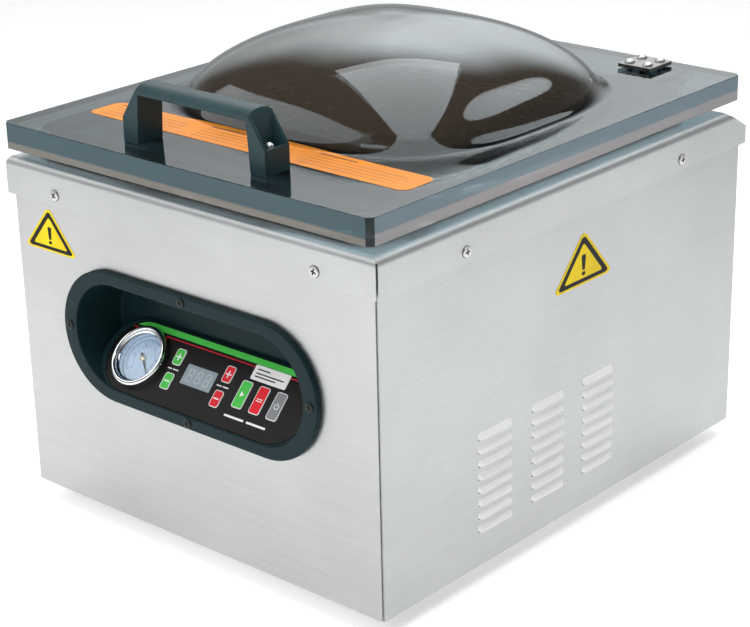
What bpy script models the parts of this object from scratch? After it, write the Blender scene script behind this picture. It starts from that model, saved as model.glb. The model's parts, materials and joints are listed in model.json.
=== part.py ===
"""Table-top chamber vacuum sealer: a sheet-steel cabinet, a vacuum chamber with a lifting seal bar,
a domed transparent lid on two rear hinges, and a recessed control panel with keys and a vacuum gauge.

Metres, +Z up, front towards -Y, feet on z = 0. The pieces are built round the cabinet's own middle and
moved at the end so that the origin lies under the middle of the overall box."""

import math

import bmesh
import bpy
from mathutils import Matrix, Vector

for old in list(bpy.data.objects):
    bpy.data.objects.remove(old, do_unlink=True)

# ---------------------------------------------------------------- driving dimensions

GAP = 0.0003  # clearance between pieces that touch on the real machine
FOOT_HEIGHT = 0.015
FOOT_INSET = 0.050
FRAME_SHIFT_Y = -0.0058  # the hinges stand out further behind than the bezel does in front

HALF_WIDTH = 0.180
HALF_DEPTH = 0.216
SHEET = 0.0015
CAB_BOTTOM = FOOT_HEIGHT
DECK_TOP = CAB_BOTTOM + 0.2655
SKIRT_BOTTOM = CAB_BOTTOM + 0.2367
SKIRT_OVERHANG = 0.0036
SKIRT_FOLD = 0.0065
PANEL_TOP = DECK_TOP - SHEET - 0.0010
REAR_FALL_START = 0.1936
REAR_FALL_RUN = 0.0260
REAR_FALL_DROP = 0.0155
FALL_CLEAR = 0.0028
FLANGE = 0.012

CHAMBER_HALF_X = 0.148
CHAMBER_FRONT = -0.146
CHAMBER_REAR = 0.152
CHAMBER_CORNER = 0.028
CHAMBER_DEPTH = 0.058

LID_HALF_X = 0.1803
LID_FRONT = -0.2212
LID_REAR = 0.2138
LID_BOTTOM = CAB_BOTTOM + 0.2724
LID_TOP = CAB_BOTTOM + 0.2924
LID_CORNER = 0.004
DOME_HALF_X = 0.1417
DOME_HALF_Y = 0.1406
DOME_CENTRE_Y = 0.0085
DOME_HEIGHT = 0.0606
DOME_WALL = 0.006
DOME_EXPONENT = 3.0

HINGE_X = 0.1085
HINGE_PLATE_Y = 0.1875
HINGE_PLATE = 0.031
HINGE_AXIS_Y = 0.2290
HINGE_AXIS_Z = 0.2790
HINGE_BOLT_SPACING = 0.017

TILT = math.radians(44.0)
PANEL_ORIGIN = Vector((0.0, -0.2205, CAB_BOTTOM + 0.105))
PANEL_MIDDLE = 0.0294
PANEL_RADIUS = 0.0288
PANEL_HALF_LENGTH = 0.072
PANEL_THICKNESS = 0.003
GAUGE_U = -0.0674
KEY_TRAVEL = 0.0005

BEZEL_Z = CAB_BOTTOM + 0.1460
BEZEL_FACE = -0.2208
BEZEL_RADIUS = 0.0511
BEZEL_HALF_LENGTH = 0.0770
RECESS_RADIUS = 0.0414
RECESS_HALF_LENGTH = 0.0734
RECESS_BACK = -0.1760
PLATEAU_RADIUS = 0.0302
PLATEAU_HALF_LENGTH = 0.0765
BEZEL_WALL = 0.0025

SEAL_BAR_HALF_X = 0.130
SEAL_BAR_Y = -0.1335
SEAL_BAR_WIDTH = 0.012
SEAL_BAR_TOP = 0.2725
SEAL_POST_X = 0.085

PUMP_X = -0.090
PUMP_Z = 0.078

SCREW_X = 0.129
SCREW_Y = 0.129
SCREW_Z = CAB_BOTTOM + 0.2450

# ---------------------------------------------------------------- materials


def material(name, colour, roughness, metallic=0.0, alpha=1.0):
    made = bpy.data.materials.new(name)
    made.use_nodes = True
    shader = made.node_tree.nodes["Principled BSDF"]
    shader.inputs["Base Color"].default_value = (*colour, 1.0)
    shader.inputs["Roughness"].default_value = roughness
    shader.inputs["Metallic"].default_value = metallic
    shader.inputs["Alpha"].default_value = alpha
    return made


STEEL = material("brushed_steel", (0.62, 0.63, 0.64), 0.32, 1.0)
BRIGHT_STEEL = material("bright_steel", (0.72, 0.73, 0.74), 0.18, 1.0)
CHROME = material("chrome", (0.85, 0.86, 0.88), 0.06, 1.0)
ACRYLIC = material("smoked_acrylic", (0.10, 0.13, 0.14), 0.04, 0.0, 0.45)
CLEAR = material("clear_lens", (0.85, 0.90, 0.92), 0.03, 0.0, 0.3)
TEAL = material("dark_teal_plastic", (0.045, 0.085, 0.098), 0.5)
BLACK = material("black_plastic", (0.016, 0.013, 0.014), 0.45)
GREEN = material("green_key", (0.05, 0.36, 0.08), 0.4)
RED = material("red_key", (0.60, 0.02, 0.03), 0.4)
GREY = material("grey_key", (0.21, 0.22, 0.24), 0.4)
DISPLAY = material("display_grey", (0.36, 0.44, 0.48), 0.25)
DIAL = material("pale_blue_dial", (0.50, 0.63, 0.84), 0.5)
RUBBER = material("black_rubber", (0.02, 0.02, 0.02), 0.8)
SILICONE = material("pale_silicone", (0.55, 0.50, 0.50), 0.6)
WHITE = material("white_polyethylene", (0.80, 0.80, 0.78), 0.5)
CASTING = material("grey_casting", (0.12, 0.15, 0.20), 0.55, 0.3)
COPPER = material("copper_winding", (0.50, 0.20, 0.08), 0.4, 0.6)
BOARD = material("circuit_board", (0.02, 0.16, 0.06), 0.5)

# ---------------------------------------------------------------- mesh helpers


def finish(name, mesh_build, look):
    """Turns a bmesh into a named object with outward normals."""
    bmesh.ops.remove_doubles(mesh_build, verts=mesh_build.verts, dist=1e-6)
    bmesh.ops.recalc_face_normals(mesh_build, faces=mesh_build.faces)
    mesh = bpy.data.meshes.new(name)
    mesh_build.to_mesh(mesh)
    mesh_build.free()
    mesh.materials.append(look)
    made = bpy.data.objects.new(name, mesh)
    bpy.context.scene.collection.objects.link(made)
    return made


def loft(build, loops, closed=False):
    """Skins equal-length loops of points; open skins get a flat cap at each end."""
    rings = [[build.verts.new(point) for point in loop] for loop in loops]
    pairs = list(zip(rings, rings[1:]))
    if closed:
        pairs.append((rings[-1], rings[0]))
    count = len(rings[0])
    for lower, upper in pairs:
        for i in range(count):
            j = (i + 1) % count
            build.faces.new((lower[i], lower[j], upper[j], upper[i]))
    if not closed:
        build.faces.new(rings[0][::-1])
        build.faces.new(rings[-1])


def add_box(build, low, high, matrix=None):
    (x0, y0, z0), (x1, y1, z1) = low, high
    square = [(x0, y0), (x1, y0), (x1, y1), (x0, y1)]
    loops = [[Vector((x, y, z)) for x, y in square] for z in (z0, z1)]
    if matrix is not None:
        loops = [[matrix @ point for point in loop] for loop in loops]
    loft(build, loops)


def add_prism(build, outline, start, end, place):
    """Extrudes a 2-D outline between two depths; place maps (a, b, depth) to a point."""
    loft(build, [[place(a, b, depth) for a, b in outline] for depth in (start, end)])


def add_lathe(build, profile, centre, axis, count=16):
    """Turns (radius, height) points about an axis; the profile starts and ends on flat ends."""
    turn = Vector((0, 0, 1)).rotation_difference(Vector(axis)).to_matrix()
    middle = Vector(centre)
    loops = []
    for radius, height in profile:
        loop = []
        for i in range(count):
            angle = 2 * math.pi * i / count
            loop.append(middle + turn @ Vector((radius * math.cos(angle), radius * math.sin(angle), height)))
        loops.append(loop)
    loft(build, loops)


def boxes(name, look, corner_pairs, origin=None):
    """One solid made of overlapping boxes."""
    made = solid_of(name, look, [lambda build, pair=pair: add_box(build, *pair) for pair in corner_pairs])
    return move_origin(made, origin)


def solid_of(name, look, adders, cutters=()):
    """Joins the solids that the adders build, then cuts away those that the cutters build."""
    made = simple(name, look, adders[0])
    for adder in adders[1:]:
        boolean(made, adder, "UNION")
    for cutter in cutters:
        boolean(made, cutter, "DIFFERENCE")
    return made


def simple(name, look, adder):
    build = bmesh.new()
    adder(build)
    return finish(name, build, look)


def boolean(target, adder, operation):
    """Applies one exact Boolean with a throwaway tool mesh, which may hold several separate solids."""
    tool = simple("tool", target.data.materials[0], adder)
    tool.hide_render = True
    tool.display_type = "WIRE"
    modifier = target.modifiers.new("cut", "BOOLEAN")
    modifier.operation = operation
    modifier.solver = "EXACT"
    modifier.object = tool
    bpy.context.view_layer.update()
    result = bpy.data.meshes.new_from_object(target.evaluated_get(bpy.context.evaluated_depsgraph_get()))
    target.modifiers.clear()
    spent = target.data
    result.name = target.name
    target.data = result
    bpy.data.meshes.remove(spent)
    bpy.data.objects.remove(tool, do_unlink=True)


def move_origin(made, origin):
    """Puts an object's origin on its joint's axis without moving its shape."""
    if origin is not None:
        made.data.transform(Matrix.Translation(-Vector(origin)))
        made.location = origin
    return made


# ---------------------------------------------------------------- outlines


def stadium(half_length, radius, steps=8):
    """A straight-sided oblong with round ends, centred on (0, 0)."""
    points = []
    for side, start in ((1, -90), (-1, 90)):
        for i in range(steps + 1):
            angle = math.radians(start + 180 * i / steps)
            points.append((side * half_length + radius * math.cos(angle), radius * math.sin(angle)))
    return points


def rounded(x0, x1, y0, y1, radius, steps=4):
    """A rectangle with round corners."""
    points = []
    corners = ((x1, y1, 0), (x0, y1, 90), (x0, y0, 180), (x1, y0, 270))
    for x, y, start in corners:
        middle_x = x - radius if x == x1 else x + radius
        middle_y = y - radius if y == y1 else y + radius
        for i in range(steps + 1):
            angle = math.radians(start + 90 * i / steps)
            points.append((middle_x + radius * math.cos(angle), middle_y + radius * math.sin(angle)))
    return points


def at_height(outline, z):
    return [Vector((x, y, z)) for x, y in outline]


def along_y(a, b, depth):
    return Vector((a, depth, b))


def along_x(a, b, depth):
    return Vector((depth, a, b))


def on_panel(u, w, n):
    """Maps panel coordinates (right, up the slope, out of the face) to a point."""
    right = Vector((1, 0, 0))
    up = Vector((0, math.sin(TILT), math.cos(TILT)))
    out = Vector((0, -math.cos(TILT), math.sin(TILT)))
    return PANEL_ORIGIN + right * u + up * w + out * n


PANEL_OUT = on_panel(0, 0, 1) - on_panel(0, 0, 0)

# ---------------------------------------------------------------- cabinet sheets


def add_louvres(build, side, grow):
    """Three columns of eight hoods pressed out of a side panel; grow thins the tool that hollows them."""
    column_length, column_pitch, row_pitch = 0.038, 0.062, 0.01028
    rows, lowest, first_y = 8, CAB_BOTTOM + 0.0300, -0.113
    rise, drop, reach = 0.0030, 0.0030, 0.0032
    for column in range(3):
        start = first_y + column * column_pitch + grow
        end = first_y + column * column_pitch + column_length - grow
        for row in range(rows):
            z = lowest + row * row_pitch
            face = side * (HALF_WIDTH - SHEET * (0.5 if grow == 0 else 1.6))
            out = side * (HALF_WIDTH + reach - grow)
            low = z - drop - (0.0006 if grow else 0)
            outline = [(face, low), (out, low), (out, low + 0.0012), (face, z + rise - grow * 1.4)]
            add_prism(build, outline, start, end, along_y)


def rear_fall(y):
    """Height of the deck's top face where it falls away behind the lid."""
    return DECK_TOP - (y - REAR_FALL_START) * REAR_FALL_DROP / REAR_FALL_RUN


def side_panel(name, side):
    inner = HALF_WIDTH - SHEET
    end_y = HALF_DEPTH - SHEET + GAP

    def sheet(build):
        wall = [(-end_y, CAB_BOTTOM), (end_y, CAB_BOTTOM), (end_y, rear_fall(end_y) - FALL_CLEAR),
                (REAR_FALL_START, PANEL_TOP), (-end_y, PANEL_TOP)]
        add_prism(build, wall, side * inner, side * HALF_WIDTH, along_x)

    def flange(build):
        low = (min(side * HALF_WIDTH, side * (inner - FLANGE)), -end_y + 0.010, CAB_BOTTOM)
        high = (max(side * HALF_WIDTH, side * (inner - FLANGE)), end_y - 0.010, CAB_BOTTOM + SHEET)
        add_box(build, low, high)

    made = solid_of(name, STEEL, [sheet, flange, lambda build: add_louvres(build, side, 0.0)])
    boolean(made, lambda build: add_louvres(build, side, 0.0010), "DIFFERENCE")
    boolean(made, lambda build: add_screw_holes(build, (side, 0)), "DIFFERENCE")
    return made


def add_screw_holes(build, facing):
    """Clearance holes for the skirt screws of one side of the cabinet."""
    for spot, axis in skirt_screw_spots(facing):
        add_lathe(build, [(0.0024, -0.012), (0.0024, 0.004)], spot, axis, 8)


def skirt_screw_spots(facing):
    """Where the two skirt screws of one side sit, and the way they point."""
    side_x, side_y = facing
    if side_x:
        x = side_x * (HALF_WIDTH + SKIRT_OVERHANG)
        return [(Vector((x, y, SCREW_Z)), (side_x, 0, 0)) for y in (-SCREW_Y, SCREW_Y)]
    y = side_y * (HALF_DEPTH + SKIRT_OVERHANG)
    return [(Vector((x, y, SCREW_Z)), (0, side_y, 0)) for x in (-SCREW_X, SCREW_X)]


def end_panel(name, side, cutters):
    """The front or the rear panel: a flat sheet with folded upright edges and a folded lower edge."""
    half = HALF_WIDTH - SHEET - GAP
    outer = side * HALF_DEPTH
    inner = side * (HALF_DEPTH - SHEET)
    fold = side * (HALF_DEPTH - FLANGE)
    top = PANEL_TOP if side < 0 else rear_fall(HALF_DEPTH) - FALL_CLEAR

    def sheet(build):
        add_box(build, (-half, min(outer, inner), CAB_BOTTOM), (half, max(outer, inner), top))

    def edges(build):
        for x0, x1 in ((-half, -half + SHEET), (half - SHEET, half)):
            add_box(build, (x0, min(outer, fold), CAB_BOTTOM + SHEET + 0.004), (x1, max(outer, fold), top))

    def lower(build):
        inset = half - FLANGE - 0.006
        add_box(build, (-inset, min(outer, fold), CAB_BOTTOM), (inset, max(outer, fold), CAB_BOTTOM + SHEET))

    return solid_of(name, STEEL, [sheet, edges, lower],
                    [*cutters, lambda build: add_screw_holes(build, (0, side))])


def add_bezel_cutout(build):
    radius = RECESS_RADIUS + BEZEL_WALL + 0.0005
    outline = [(x, BEZEL_Z + z) for x, z in stadium(RECESS_HALF_LENGTH, radius)]
    add_prism(build, outline, -HALF_DEPTH - 0.01, -HALF_DEPTH + 0.01, along_y)


def add_bezel_screw_holes(build):
    for spot in bezel_screw_spots():
        add_lathe(build, [(0.0019, -0.012), (0.0019, 0.004)], spot, (0, -1, 0), 8)


def bezel_screw_spots():
    """Screw seats on the bezel's face: top, bottom, left and right."""
    rise = (BEZEL_RADIUS + RECESS_RADIUS) / 2
    reach = (BEZEL_HALF_LENGTH + BEZEL_RADIUS + RECESS_HALF_LENGTH + RECESS_RADIUS) / 2
    offsets = ((0, rise), (0, -rise), (-reach, 0), (reach, 0))
    return [Vector((x, BEZEL_FACE, BEZEL_Z + z)) for x, z in offsets]


INLET_X = 0.120
INLET_Z = 0.065


def add_inlet_cutout(build):
    add_box(build, (INLET_X - 0.0150, HALF_DEPTH - 0.01, INLET_Z - 0.0110),
            (INLET_X + 0.0150, HALF_DEPTH + 0.01, INLET_Z + 0.0110))


def add_rear_slots(build):
    """Plain exhaust slots behind the pump's fan."""
    for row in range(6):
        z = 0.060 + row * 0.012
        add_box(build, (PUMP_X - 0.030, HALF_DEPTH - 0.01, z), (PUMP_X + 0.030, HALF_DEPTH + 0.01, z + 0.004))


end_panel("front_panel", -1, [add_bezel_cutout, add_bezel_screw_holes])
end_panel("rear_panel", 1, [add_inlet_cutout, add_rear_slots])
side_panel("left_side_panel", -1)
side_panel("right_side_panel", 1)

base_low = CAB_BOTTOM + SHEET + GAP
boxes("base_plate", STEEL, [
    ((-0.1765, -0.2125, base_low), (0.1765, 0.2125, base_low + SHEET)),
])

# ---------------------------------------------------------------- deck and chamber


def rectangle_loop(half_x, half_y, z):
    return [Vector((x, y, z)) for x, y in ((half_x, half_y), (-half_x, half_y), (-half_x, -half_y), (half_x, -half_y))]


def add_pan(build, shrink, top, bottom):
    """A block whose top edges are folded round and whose rear falls away; shrink moves every face inwards."""
    radius = SKIRT_FOLD - shrink
    half_x = HALF_WIDTH + SKIRT_OVERHANG - shrink
    half_y = HALF_DEPTH + SKIRT_OVERHANG - shrink
    loops = [rectangle_loop(half_x, half_y, bottom)]
    for i in range(6):
        angle = math.radians(18 * i)
        inset = radius * (1 - math.cos(angle))
        loops.append(rectangle_loop(half_x - inset, half_y - inset, top - radius * (1 - math.sin(angle))))
    loft(build, loops)
    steep = Vector((0.0, REAR_FALL_DROP, REAR_FALL_RUN)).normalized()
    spot = Vector((0.0, REAR_FALL_START, DECK_TOP)) - steep * shrink
    everything = [*build.verts, *build.edges, *build.faces]
    cut = bmesh.ops.bisect_plane(build, geom=everything, plane_co=spot, plane_no=steep, clear_outer=True)
    rim = [entry for entry in cut["geom_cut"] if isinstance(entry, bmesh.types.BMEdge)]
    bmesh.ops.edgenet_fill(build, edges=rim)


def add_chamber_opening(build):
    outline = rounded(-CHAMBER_HALF_X, CHAMBER_HALF_X, CHAMBER_FRONT, CHAMBER_REAR, CHAMBER_CORNER, 5)
    loft(build, [at_height(outline, DECK_TOP - 0.01), at_height(outline, DECK_TOP + 0.01)])


def add_corner_slits(build):
    """The open joint at each corner of the skirt, cut on the diagonal."""
    half_slit, reach, start = 0.0007, 0.012, 0.0035
    for side_x in (-1, 1):
        for side_y in (-1, 1):
            corner = Vector((side_x * (HALF_WIDTH + SKIRT_OVERHANG), side_y * (HALF_DEPTH + SKIRT_OVERHANG), 0))
            angle = math.atan2(side_y, side_x)
            place = Matrix.Translation(corner) @ Matrix.Rotation(angle, 4, "Z")
            low = (-start, -half_slit, SKIRT_BOTTOM - 0.01)
            add_box(build, low, (reach, half_slit, DECK_TOP - 0.0015), place)


def add_all_screw_holes(build):
    for facing in ((-1, 0), (1, 0), (0, -1), (0, 1)):
        add_screw_holes(build, facing)


solid_of("top_deck", STEEL, [lambda build: add_pan(build, 0.0, DECK_TOP, SKIRT_BOTTOM)],
         [lambda build: add_pan(build, SHEET, DECK_TOP - SHEET, SKIRT_BOTTOM - 0.01),
          add_chamber_opening, add_corner_slits, add_all_screw_holes])

TUB_RIM = DECK_TOP - SHEET - GAP
TUB_FLOOR = DECK_TOP - CHAMBER_DEPTH
PORT_X = 0.110
PORT_Y = 0.125


def add_tub(build):
    """The chamber's pressed tray: a flange under the deck, upright walls and a rounded floor edge."""
    def ring(grow, z):
        outline = rounded(-CHAMBER_HALF_X - grow, CHAMBER_HALF_X + grow, CHAMBER_FRONT - grow,
                          CHAMBER_REAR + grow, CHAMBER_CORNER + grow, 5)
        return at_height(outline, z)

    bend = 0.012
    inner = [ring(-bend, TUB_FLOOR), ring(-bend * 0.3, TUB_FLOOR + bend * 0.3), ring(0, TUB_FLOOR + bend)]
    outer = [ring(SHEET, TUB_FLOOR + bend), ring(SHEET - bend * 0.3, TUB_FLOOR - SHEET + bend * 0.3),
             ring(SHEET - bend, TUB_FLOOR - SHEET)]
    top = [ring(0, TUB_RIM), ring(0.010, TUB_RIM), ring(0.010, TUB_RIM - SHEET), ring(SHEET, TUB_RIM - SHEET)]
    loft(build, [*inner, *top, *outer])


def add_guide_pins(build):
    for x in (-SEAL_POST_X, SEAL_POST_X):
        add_lathe(build, [(0.0025, 0), (0.0025, 0.024)], (x, SEAL_BAR_Y, TUB_FLOOR - 0.0005), (0, 0, 1), 8)


def add_port_nipple(build):
    add_lathe(build, [(0.006, 0), (0.006, 0.012)], (PORT_X, PORT_Y, TUB_FLOOR - SHEET * 0.5 - 0.012), (0, 0, 1), 10)


def add_port_bore(build):
    add_lathe(build, [(0.0035, 0), (0.0035, 0.030)], (PORT_X, PORT_Y, TUB_FLOOR - 0.025), (0, 0, 1), 8)


solid_of("chamber_tub", BRIGHT_STEEL, [add_tub, add_guide_pins, add_port_nipple], [add_port_bore])

simple("filler_plate", WHITE, lambda build: loft(build, [
    at_height(rounded(-0.134, 0.134, -0.112, 0.106, 0.014, 3), z) for z in (TUB_FLOOR + GAP, TUB_FLOOR + 0.0103)]))

# ---------------------------------------------------------------- feet and screws

FOOT_PROFILE = [(0.0105, 0), (0.0125, 0.0015), (0.0135, FOOT_HEIGHT + SHEET - GAP)]
for end, y in (("front", -HALF_DEPTH + FOOT_INSET), ("rear", HALF_DEPTH - FOOT_INSET)):
    for side, x in (("left", -HALF_WIDTH + FOOT_INSET), ("right", HALF_WIDTH - FOOT_INSET)):
        simple(f"foot_{end}_{side}", RUBBER,
               lambda build, x=x, y=y: add_lathe(build, FOOT_PROFILE, (x, y, 0), (0, 0, 1), 16))


def screw(name, spot, axis, head_radius, shank_radius, shank_length, look):
    """A domed cross-head screw whose head stands just off the face it clamps."""
    arm = head_radius * 0.55
    width = head_radius * 0.11

    def body(build):
        profile = [(shank_radius, -shank_length), (shank_radius, GAP), (head_radius, GAP),
                   (head_radius * 0.93, GAP + head_radius * 0.18), (head_radius * 0.6, GAP + head_radius * 0.34),
                   (head_radius * 0.2, GAP + head_radius * 0.4)]
        add_lathe(build, profile, spot, axis, 10)

    def cross(build):
        turn = Vector((0, 0, 1)).rotation_difference(Vector(axis)).to_matrix().to_4x4()
        place = Matrix.Translation(spot) @ turn
        depth = head_radius * 0.15
        outline = [(arm, -width), (arm, width), (width, width), (width, arm), (-width, arm), (-width, width),
                   (-arm, width), (-arm, -width), (-width, -width), (-width, -arm), (width, -arm), (width, -width)]
        add_prism(build, outline, depth, head_radius, lambda a, b, n: place @ Vector((a, b, n)))

    return solid_of(name, look, [body], [cross])


SIDES = (("front", (0, -1)), ("rear", (0, 1)), ("left_side", (-1, 0)), ("right_side", (1, 0)))
for label, facing in SIDES:
    for number, (spot, axis) in enumerate(skirt_screw_spots(facing), start=1):
        screw(f"skirt_screw_{label}_{number}", spot, axis, 0.0042, 0.0020, 0.009, BRIGHT_STEEL)

# ---------------------------------------------------------------- control housing


def add_bezel_flange(build):
    """The oblong flange with a softened front edge."""
    soften = 0.0012
    loops = []
    for inset, y in ((0, -HALF_DEPTH - GAP), (0, BEZEL_FACE + soften), (soften, BEZEL_FACE)):
        outline = stadium(BEZEL_HALF_LENGTH, BEZEL_RADIUS - inset)
        loops.append([along_y(x, BEZEL_Z + z, y) for x, z in outline])
    loft(build, loops)


def oblong_along_y(build, half_length, radius, start, end):
    outline = [(x, BEZEL_Z + z) for x, z in stadium(half_length, radius)]
    add_prism(build, outline, start, end, along_y)


def add_wedge(build, shrink, lift, back):
    """The sloping plateau: its outline runs back from the tilted plane, which lift moves along its normal."""
    front, rear = [], []
    for u, w in stadium(PLATEAU_HALF_LENGTH, PLATEAU_RADIUS - shrink):
        place = on_panel(u, PANEL_MIDDLE + w, 0)
        shifted = place.y - lift / math.cos(TILT)
        front.append(Vector((place.x, shifted, place.z)))
        rear.append(Vector((place.x, back, place.z)))
    loft(build, [front, rear])


def add_panel_pocket(build):
    outline = [(u, PANEL_MIDDLE + w) for u, w in stadium(PANEL_HALF_LENGTH, PANEL_RADIUS + GAP)]
    add_prism(build, outline, -PANEL_THICKNESS - GAP, 0.004, on_panel)


def add_gauge_bore(build):
    add_lathe(build, [(0.0205, -0.030), (0.0205, 0.010)], on_panel(GAUGE_U, PANEL_MIDDLE, 0), PANEL_OUT, 16)


housing = solid_of("control_bezel", TEAL, [
    add_bezel_flange,
    lambda build: oblong_along_y(build, RECESS_HALF_LENGTH, RECESS_RADIUS + BEZEL_WALL,
                                 -HALF_DEPTH - 0.002, RECESS_BACK + BEZEL_WALL),
])
boolean(housing, lambda build: oblong_along_y(build, RECESS_HALF_LENGTH, RECESS_RADIUS,
                                              BEZEL_FACE - 0.01, RECESS_BACK), "DIFFERENCE")
boolean(housing, lambda build: add_wedge(build, 0.0, 0.0, RECESS_BACK + BEZEL_WALL * 0.5), "UNION")
boolean(housing, lambda build: add_wedge(build, 0.0042, -0.0062, RECESS_BACK + 0.01), "DIFFERENCE")
boolean(housing, add_panel_pocket, "DIFFERENCE")
boolean(housing, add_gauge_bore, "DIFFERENCE")
boolean(housing, add_bezel_screw_holes, "DIFFERENCE")

for label, spot in zip(("top", "bottom", "left", "right"), bezel_screw_spots()):
    screw(f"bezel_screw_{label}", spot, (0, -1, 0), 0.0036, 0.0016, 0.0105, BLACK)

# Keys as (name, across, up the slope, width, height, look).
SMALL_KEY = (0.0088, 0.0131)
TALL_KEY = (0.0101, 0.0215)
KEYS = (
    ("key_vacuum_plus", -0.0341, 0.0392, *SMALL_KEY, GREEN),
    ("key_vacuum_minus", -0.0341, 0.0195, *SMALL_KEY, GREEN),
    ("key_seal_plus", 0.0170, 0.0390, *SMALL_KEY, RED),
    ("key_seal_minus", 0.0170, 0.0193, *SMALL_KEY, RED),
    ("key_start", 0.0371, 0.0284, *TALL_KEY, GREEN),
    ("key_seal", 0.0540, 0.0284, *TALL_KEY, RED),
    ("key_power", 0.0709, 0.0284, *TALL_KEY, GREY),
)
DISPLAY_U = -0.0075
DISPLAY_W = 0.0292
DISPLAY_WIDTH = 0.0300
DISPLAY_HEIGHT = 0.0158


def add_tile(build, u, w, width, height, corner, start, end):
    outline = rounded(u - width / 2, u + width / 2, w - height / 2, w + height / 2, corner, 2)
    add_prism(build, outline, start, end, on_panel)


def add_key_windows(build):
    for _, u, w, width, height, _ in KEYS:
        add_tile(build, u, w, width + 2 * GAP, height + 2 * GAP, 0.0016, -0.01, 0.01)
    add_tile(build, DISPLAY_U, DISPLAY_W, DISPLAY_WIDTH + 2 * GAP, DISPLAY_HEIGHT + 2 * GAP, 0.0006, -0.01, 0.01)


panel_outline = [(u, PANEL_MIDDLE + w) for u, w in stadium(PANEL_HALF_LENGTH, PANEL_RADIUS)]
solid_of("control_panel", BLACK, [lambda build: add_prism(build, panel_outline, -PANEL_THICKNESS, 0, on_panel)],
         [add_key_windows, add_gauge_bore])

simple("display_window", DISPLAY, lambda build: add_tile(
    build, DISPLAY_U, DISPLAY_W, DISPLAY_WIDTH, DISPLAY_HEIGHT, 0.0004, -PANEL_THICKNESS, -0.0002))

for name, u, w, width, height, look in KEYS:
    key = simple(name, look, lambda build, u=u, w=w, width=width, height=height: add_tile(
        build, u, w, width, height, 0.0014, -PANEL_THICKNESS + KEY_TRAVEL + 0.0002, 0.0004))
    move_origin(key, on_panel(u, w, 0))

# ---------------------------------------------------------------- vacuum gauge

GAUGE_CENTRE = on_panel(GAUGE_U, PANEL_MIDDLE, 0)
GAUGE_RADIUS = 0.0242
GAUGE_BORE = 0.0205


def add_gauge_case(build):
    """A cup with a rolled front ring; the cup drops through the panel."""
    profile = [(0.0200, -0.0058), (0.0200, GAP), (GAUGE_RADIUS, GAP), (GAUGE_RADIUS, 0.0045),
               (GAUGE_RADIUS - 0.0010, 0.0062), (GAUGE_RADIUS - 0.0024, 0.0068), (0.0206, 0.0058),
               (0.0190, 0.0040), (0.0190, -0.0043)]
    add_lathe(build, profile, GAUGE_CENTRE, PANEL_OUT, 24)


simple("gauge_case", CHROME, add_gauge_case)
simple("gauge_dial", DIAL, lambda build: add_lathe(
    build, [(0.0187, -0.0040), (0.0187, -0.0030)], GAUGE_CENTRE, PANEL_OUT, 24))
simple("gauge_lens", CLEAR, lambda build: add_lathe(
    build, [(0.0187, 0.0014), (0.0187, 0.0029)], GAUGE_CENTRE, PANEL_OUT, 24))

NEEDLE_ANGLE = math.radians(-45)


def add_needle_blade(build):
    """A tapered pointer with a short tail, lying over the dial at the zero reading."""
    outline = [(-0.0050, -0.0010), (0.0140, -0.0003), (0.0140, 0.0003), (-0.0050, 0.0010)]
    turned = []
    for a, b in outline:
        u = a * math.cos(NEEDLE_ANGLE) - b * math.sin(NEEDLE_ANGLE)
        w = a * math.sin(NEEDLE_ANGLE) + b * math.cos(NEEDLE_ANGLE)
        turned.append((GAUGE_U + u, PANEL_MIDDLE + w))
    add_prism(build, turned, -0.0016, -0.0009, on_panel)


needle = solid_of("gauge_needle", BLACK, [
    add_needle_blade,
    lambda build: add_lathe(build, [(0.0022, -0.0026), (0.0022, 0.0004)], GAUGE_CENTRE, PANEL_OUT, 12),
])
move_origin(needle, GAUGE_CENTRE)

# ---------------------------------------------------------------- lid

HINGE_POINT = (0.0, HINGE_AXIS_Y, HINGE_AXIS_Z)


def dome_loop(share, wall, count):
    """One level of the dome: share runs from 0 at the crown to 1 at the foot."""
    half_x = (DOME_HALF_X - wall) * share
    half_y = (DOME_HALF_Y - wall) * share
    height = (DOME_HEIGHT - wall) * max(0.0, 1 - share ** 2) ** 0.6
    base = LID_TOP if wall == 0 else LID_TOP - 0.002
    points = []
    for i in range(count):
        angle = 2 * math.pi * (i + 0.5) / count
        power = 2 / DOME_EXPONENT
        cosine, sine = math.cos(angle), math.sin(angle)
        x = half_x * math.copysign(abs(cosine) ** power, cosine)
        y = half_y * math.copysign(abs(sine) ** power, sine)
        points.append(Vector((x, DOME_CENTRE_Y + y, base + height)))
    return points


def slab_loop(z, count):
    """The slab's outline, walked in step with the dome's loops; a corner is two short chamfers."""
    corners = ((LID_HALF_X, LID_REAR), (-LID_HALF_X, LID_REAR), (-LID_HALF_X, LID_FRONT), (LID_HALF_X, LID_FRONT))
    steps = count // 4
    points = []
    for k in range(4):
        before = Vector(corners[k - 1])
        here = Vector(corners[k])
        after = Vector(corners[(k + 1) % 4])
        middle_in, middle_out = (before + here) / 2, (here + after) / 2
        entry = here + (before - here).normalized() * LID_CORNER
        leave = here + (after - here).normalized() * LID_CORNER
        half = steps // 2
        for i in range(half):
            points.append(middle_in.lerp(entry, (i + 0.5) / (half - 0.5)))
        for i in range(half):
            points.append(leave.lerp(middle_out, i / (half - 0.5)))
    return [Vector((point.x, point.y, z)) for point in points]


def add_lid(build):
    count = 40
    shares = (0.16, 0.42, 0.64, 0.80, 0.90, 0.965, 1.0)
    outer = [dome_loop(share, 0.0, count) for share in shares]
    inner = [dome_loop(share, DOME_WALL, count) for share in reversed(shares)]
    opening = [Vector((point.x, point.y, LID_BOTTOM)) for point in inner[0]]
    slab = [slab_loop(LID_TOP, count), slab_loop(LID_BOTTOM, count)]
    loft(build, [*outer, *slab, opening, *inner])


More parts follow.
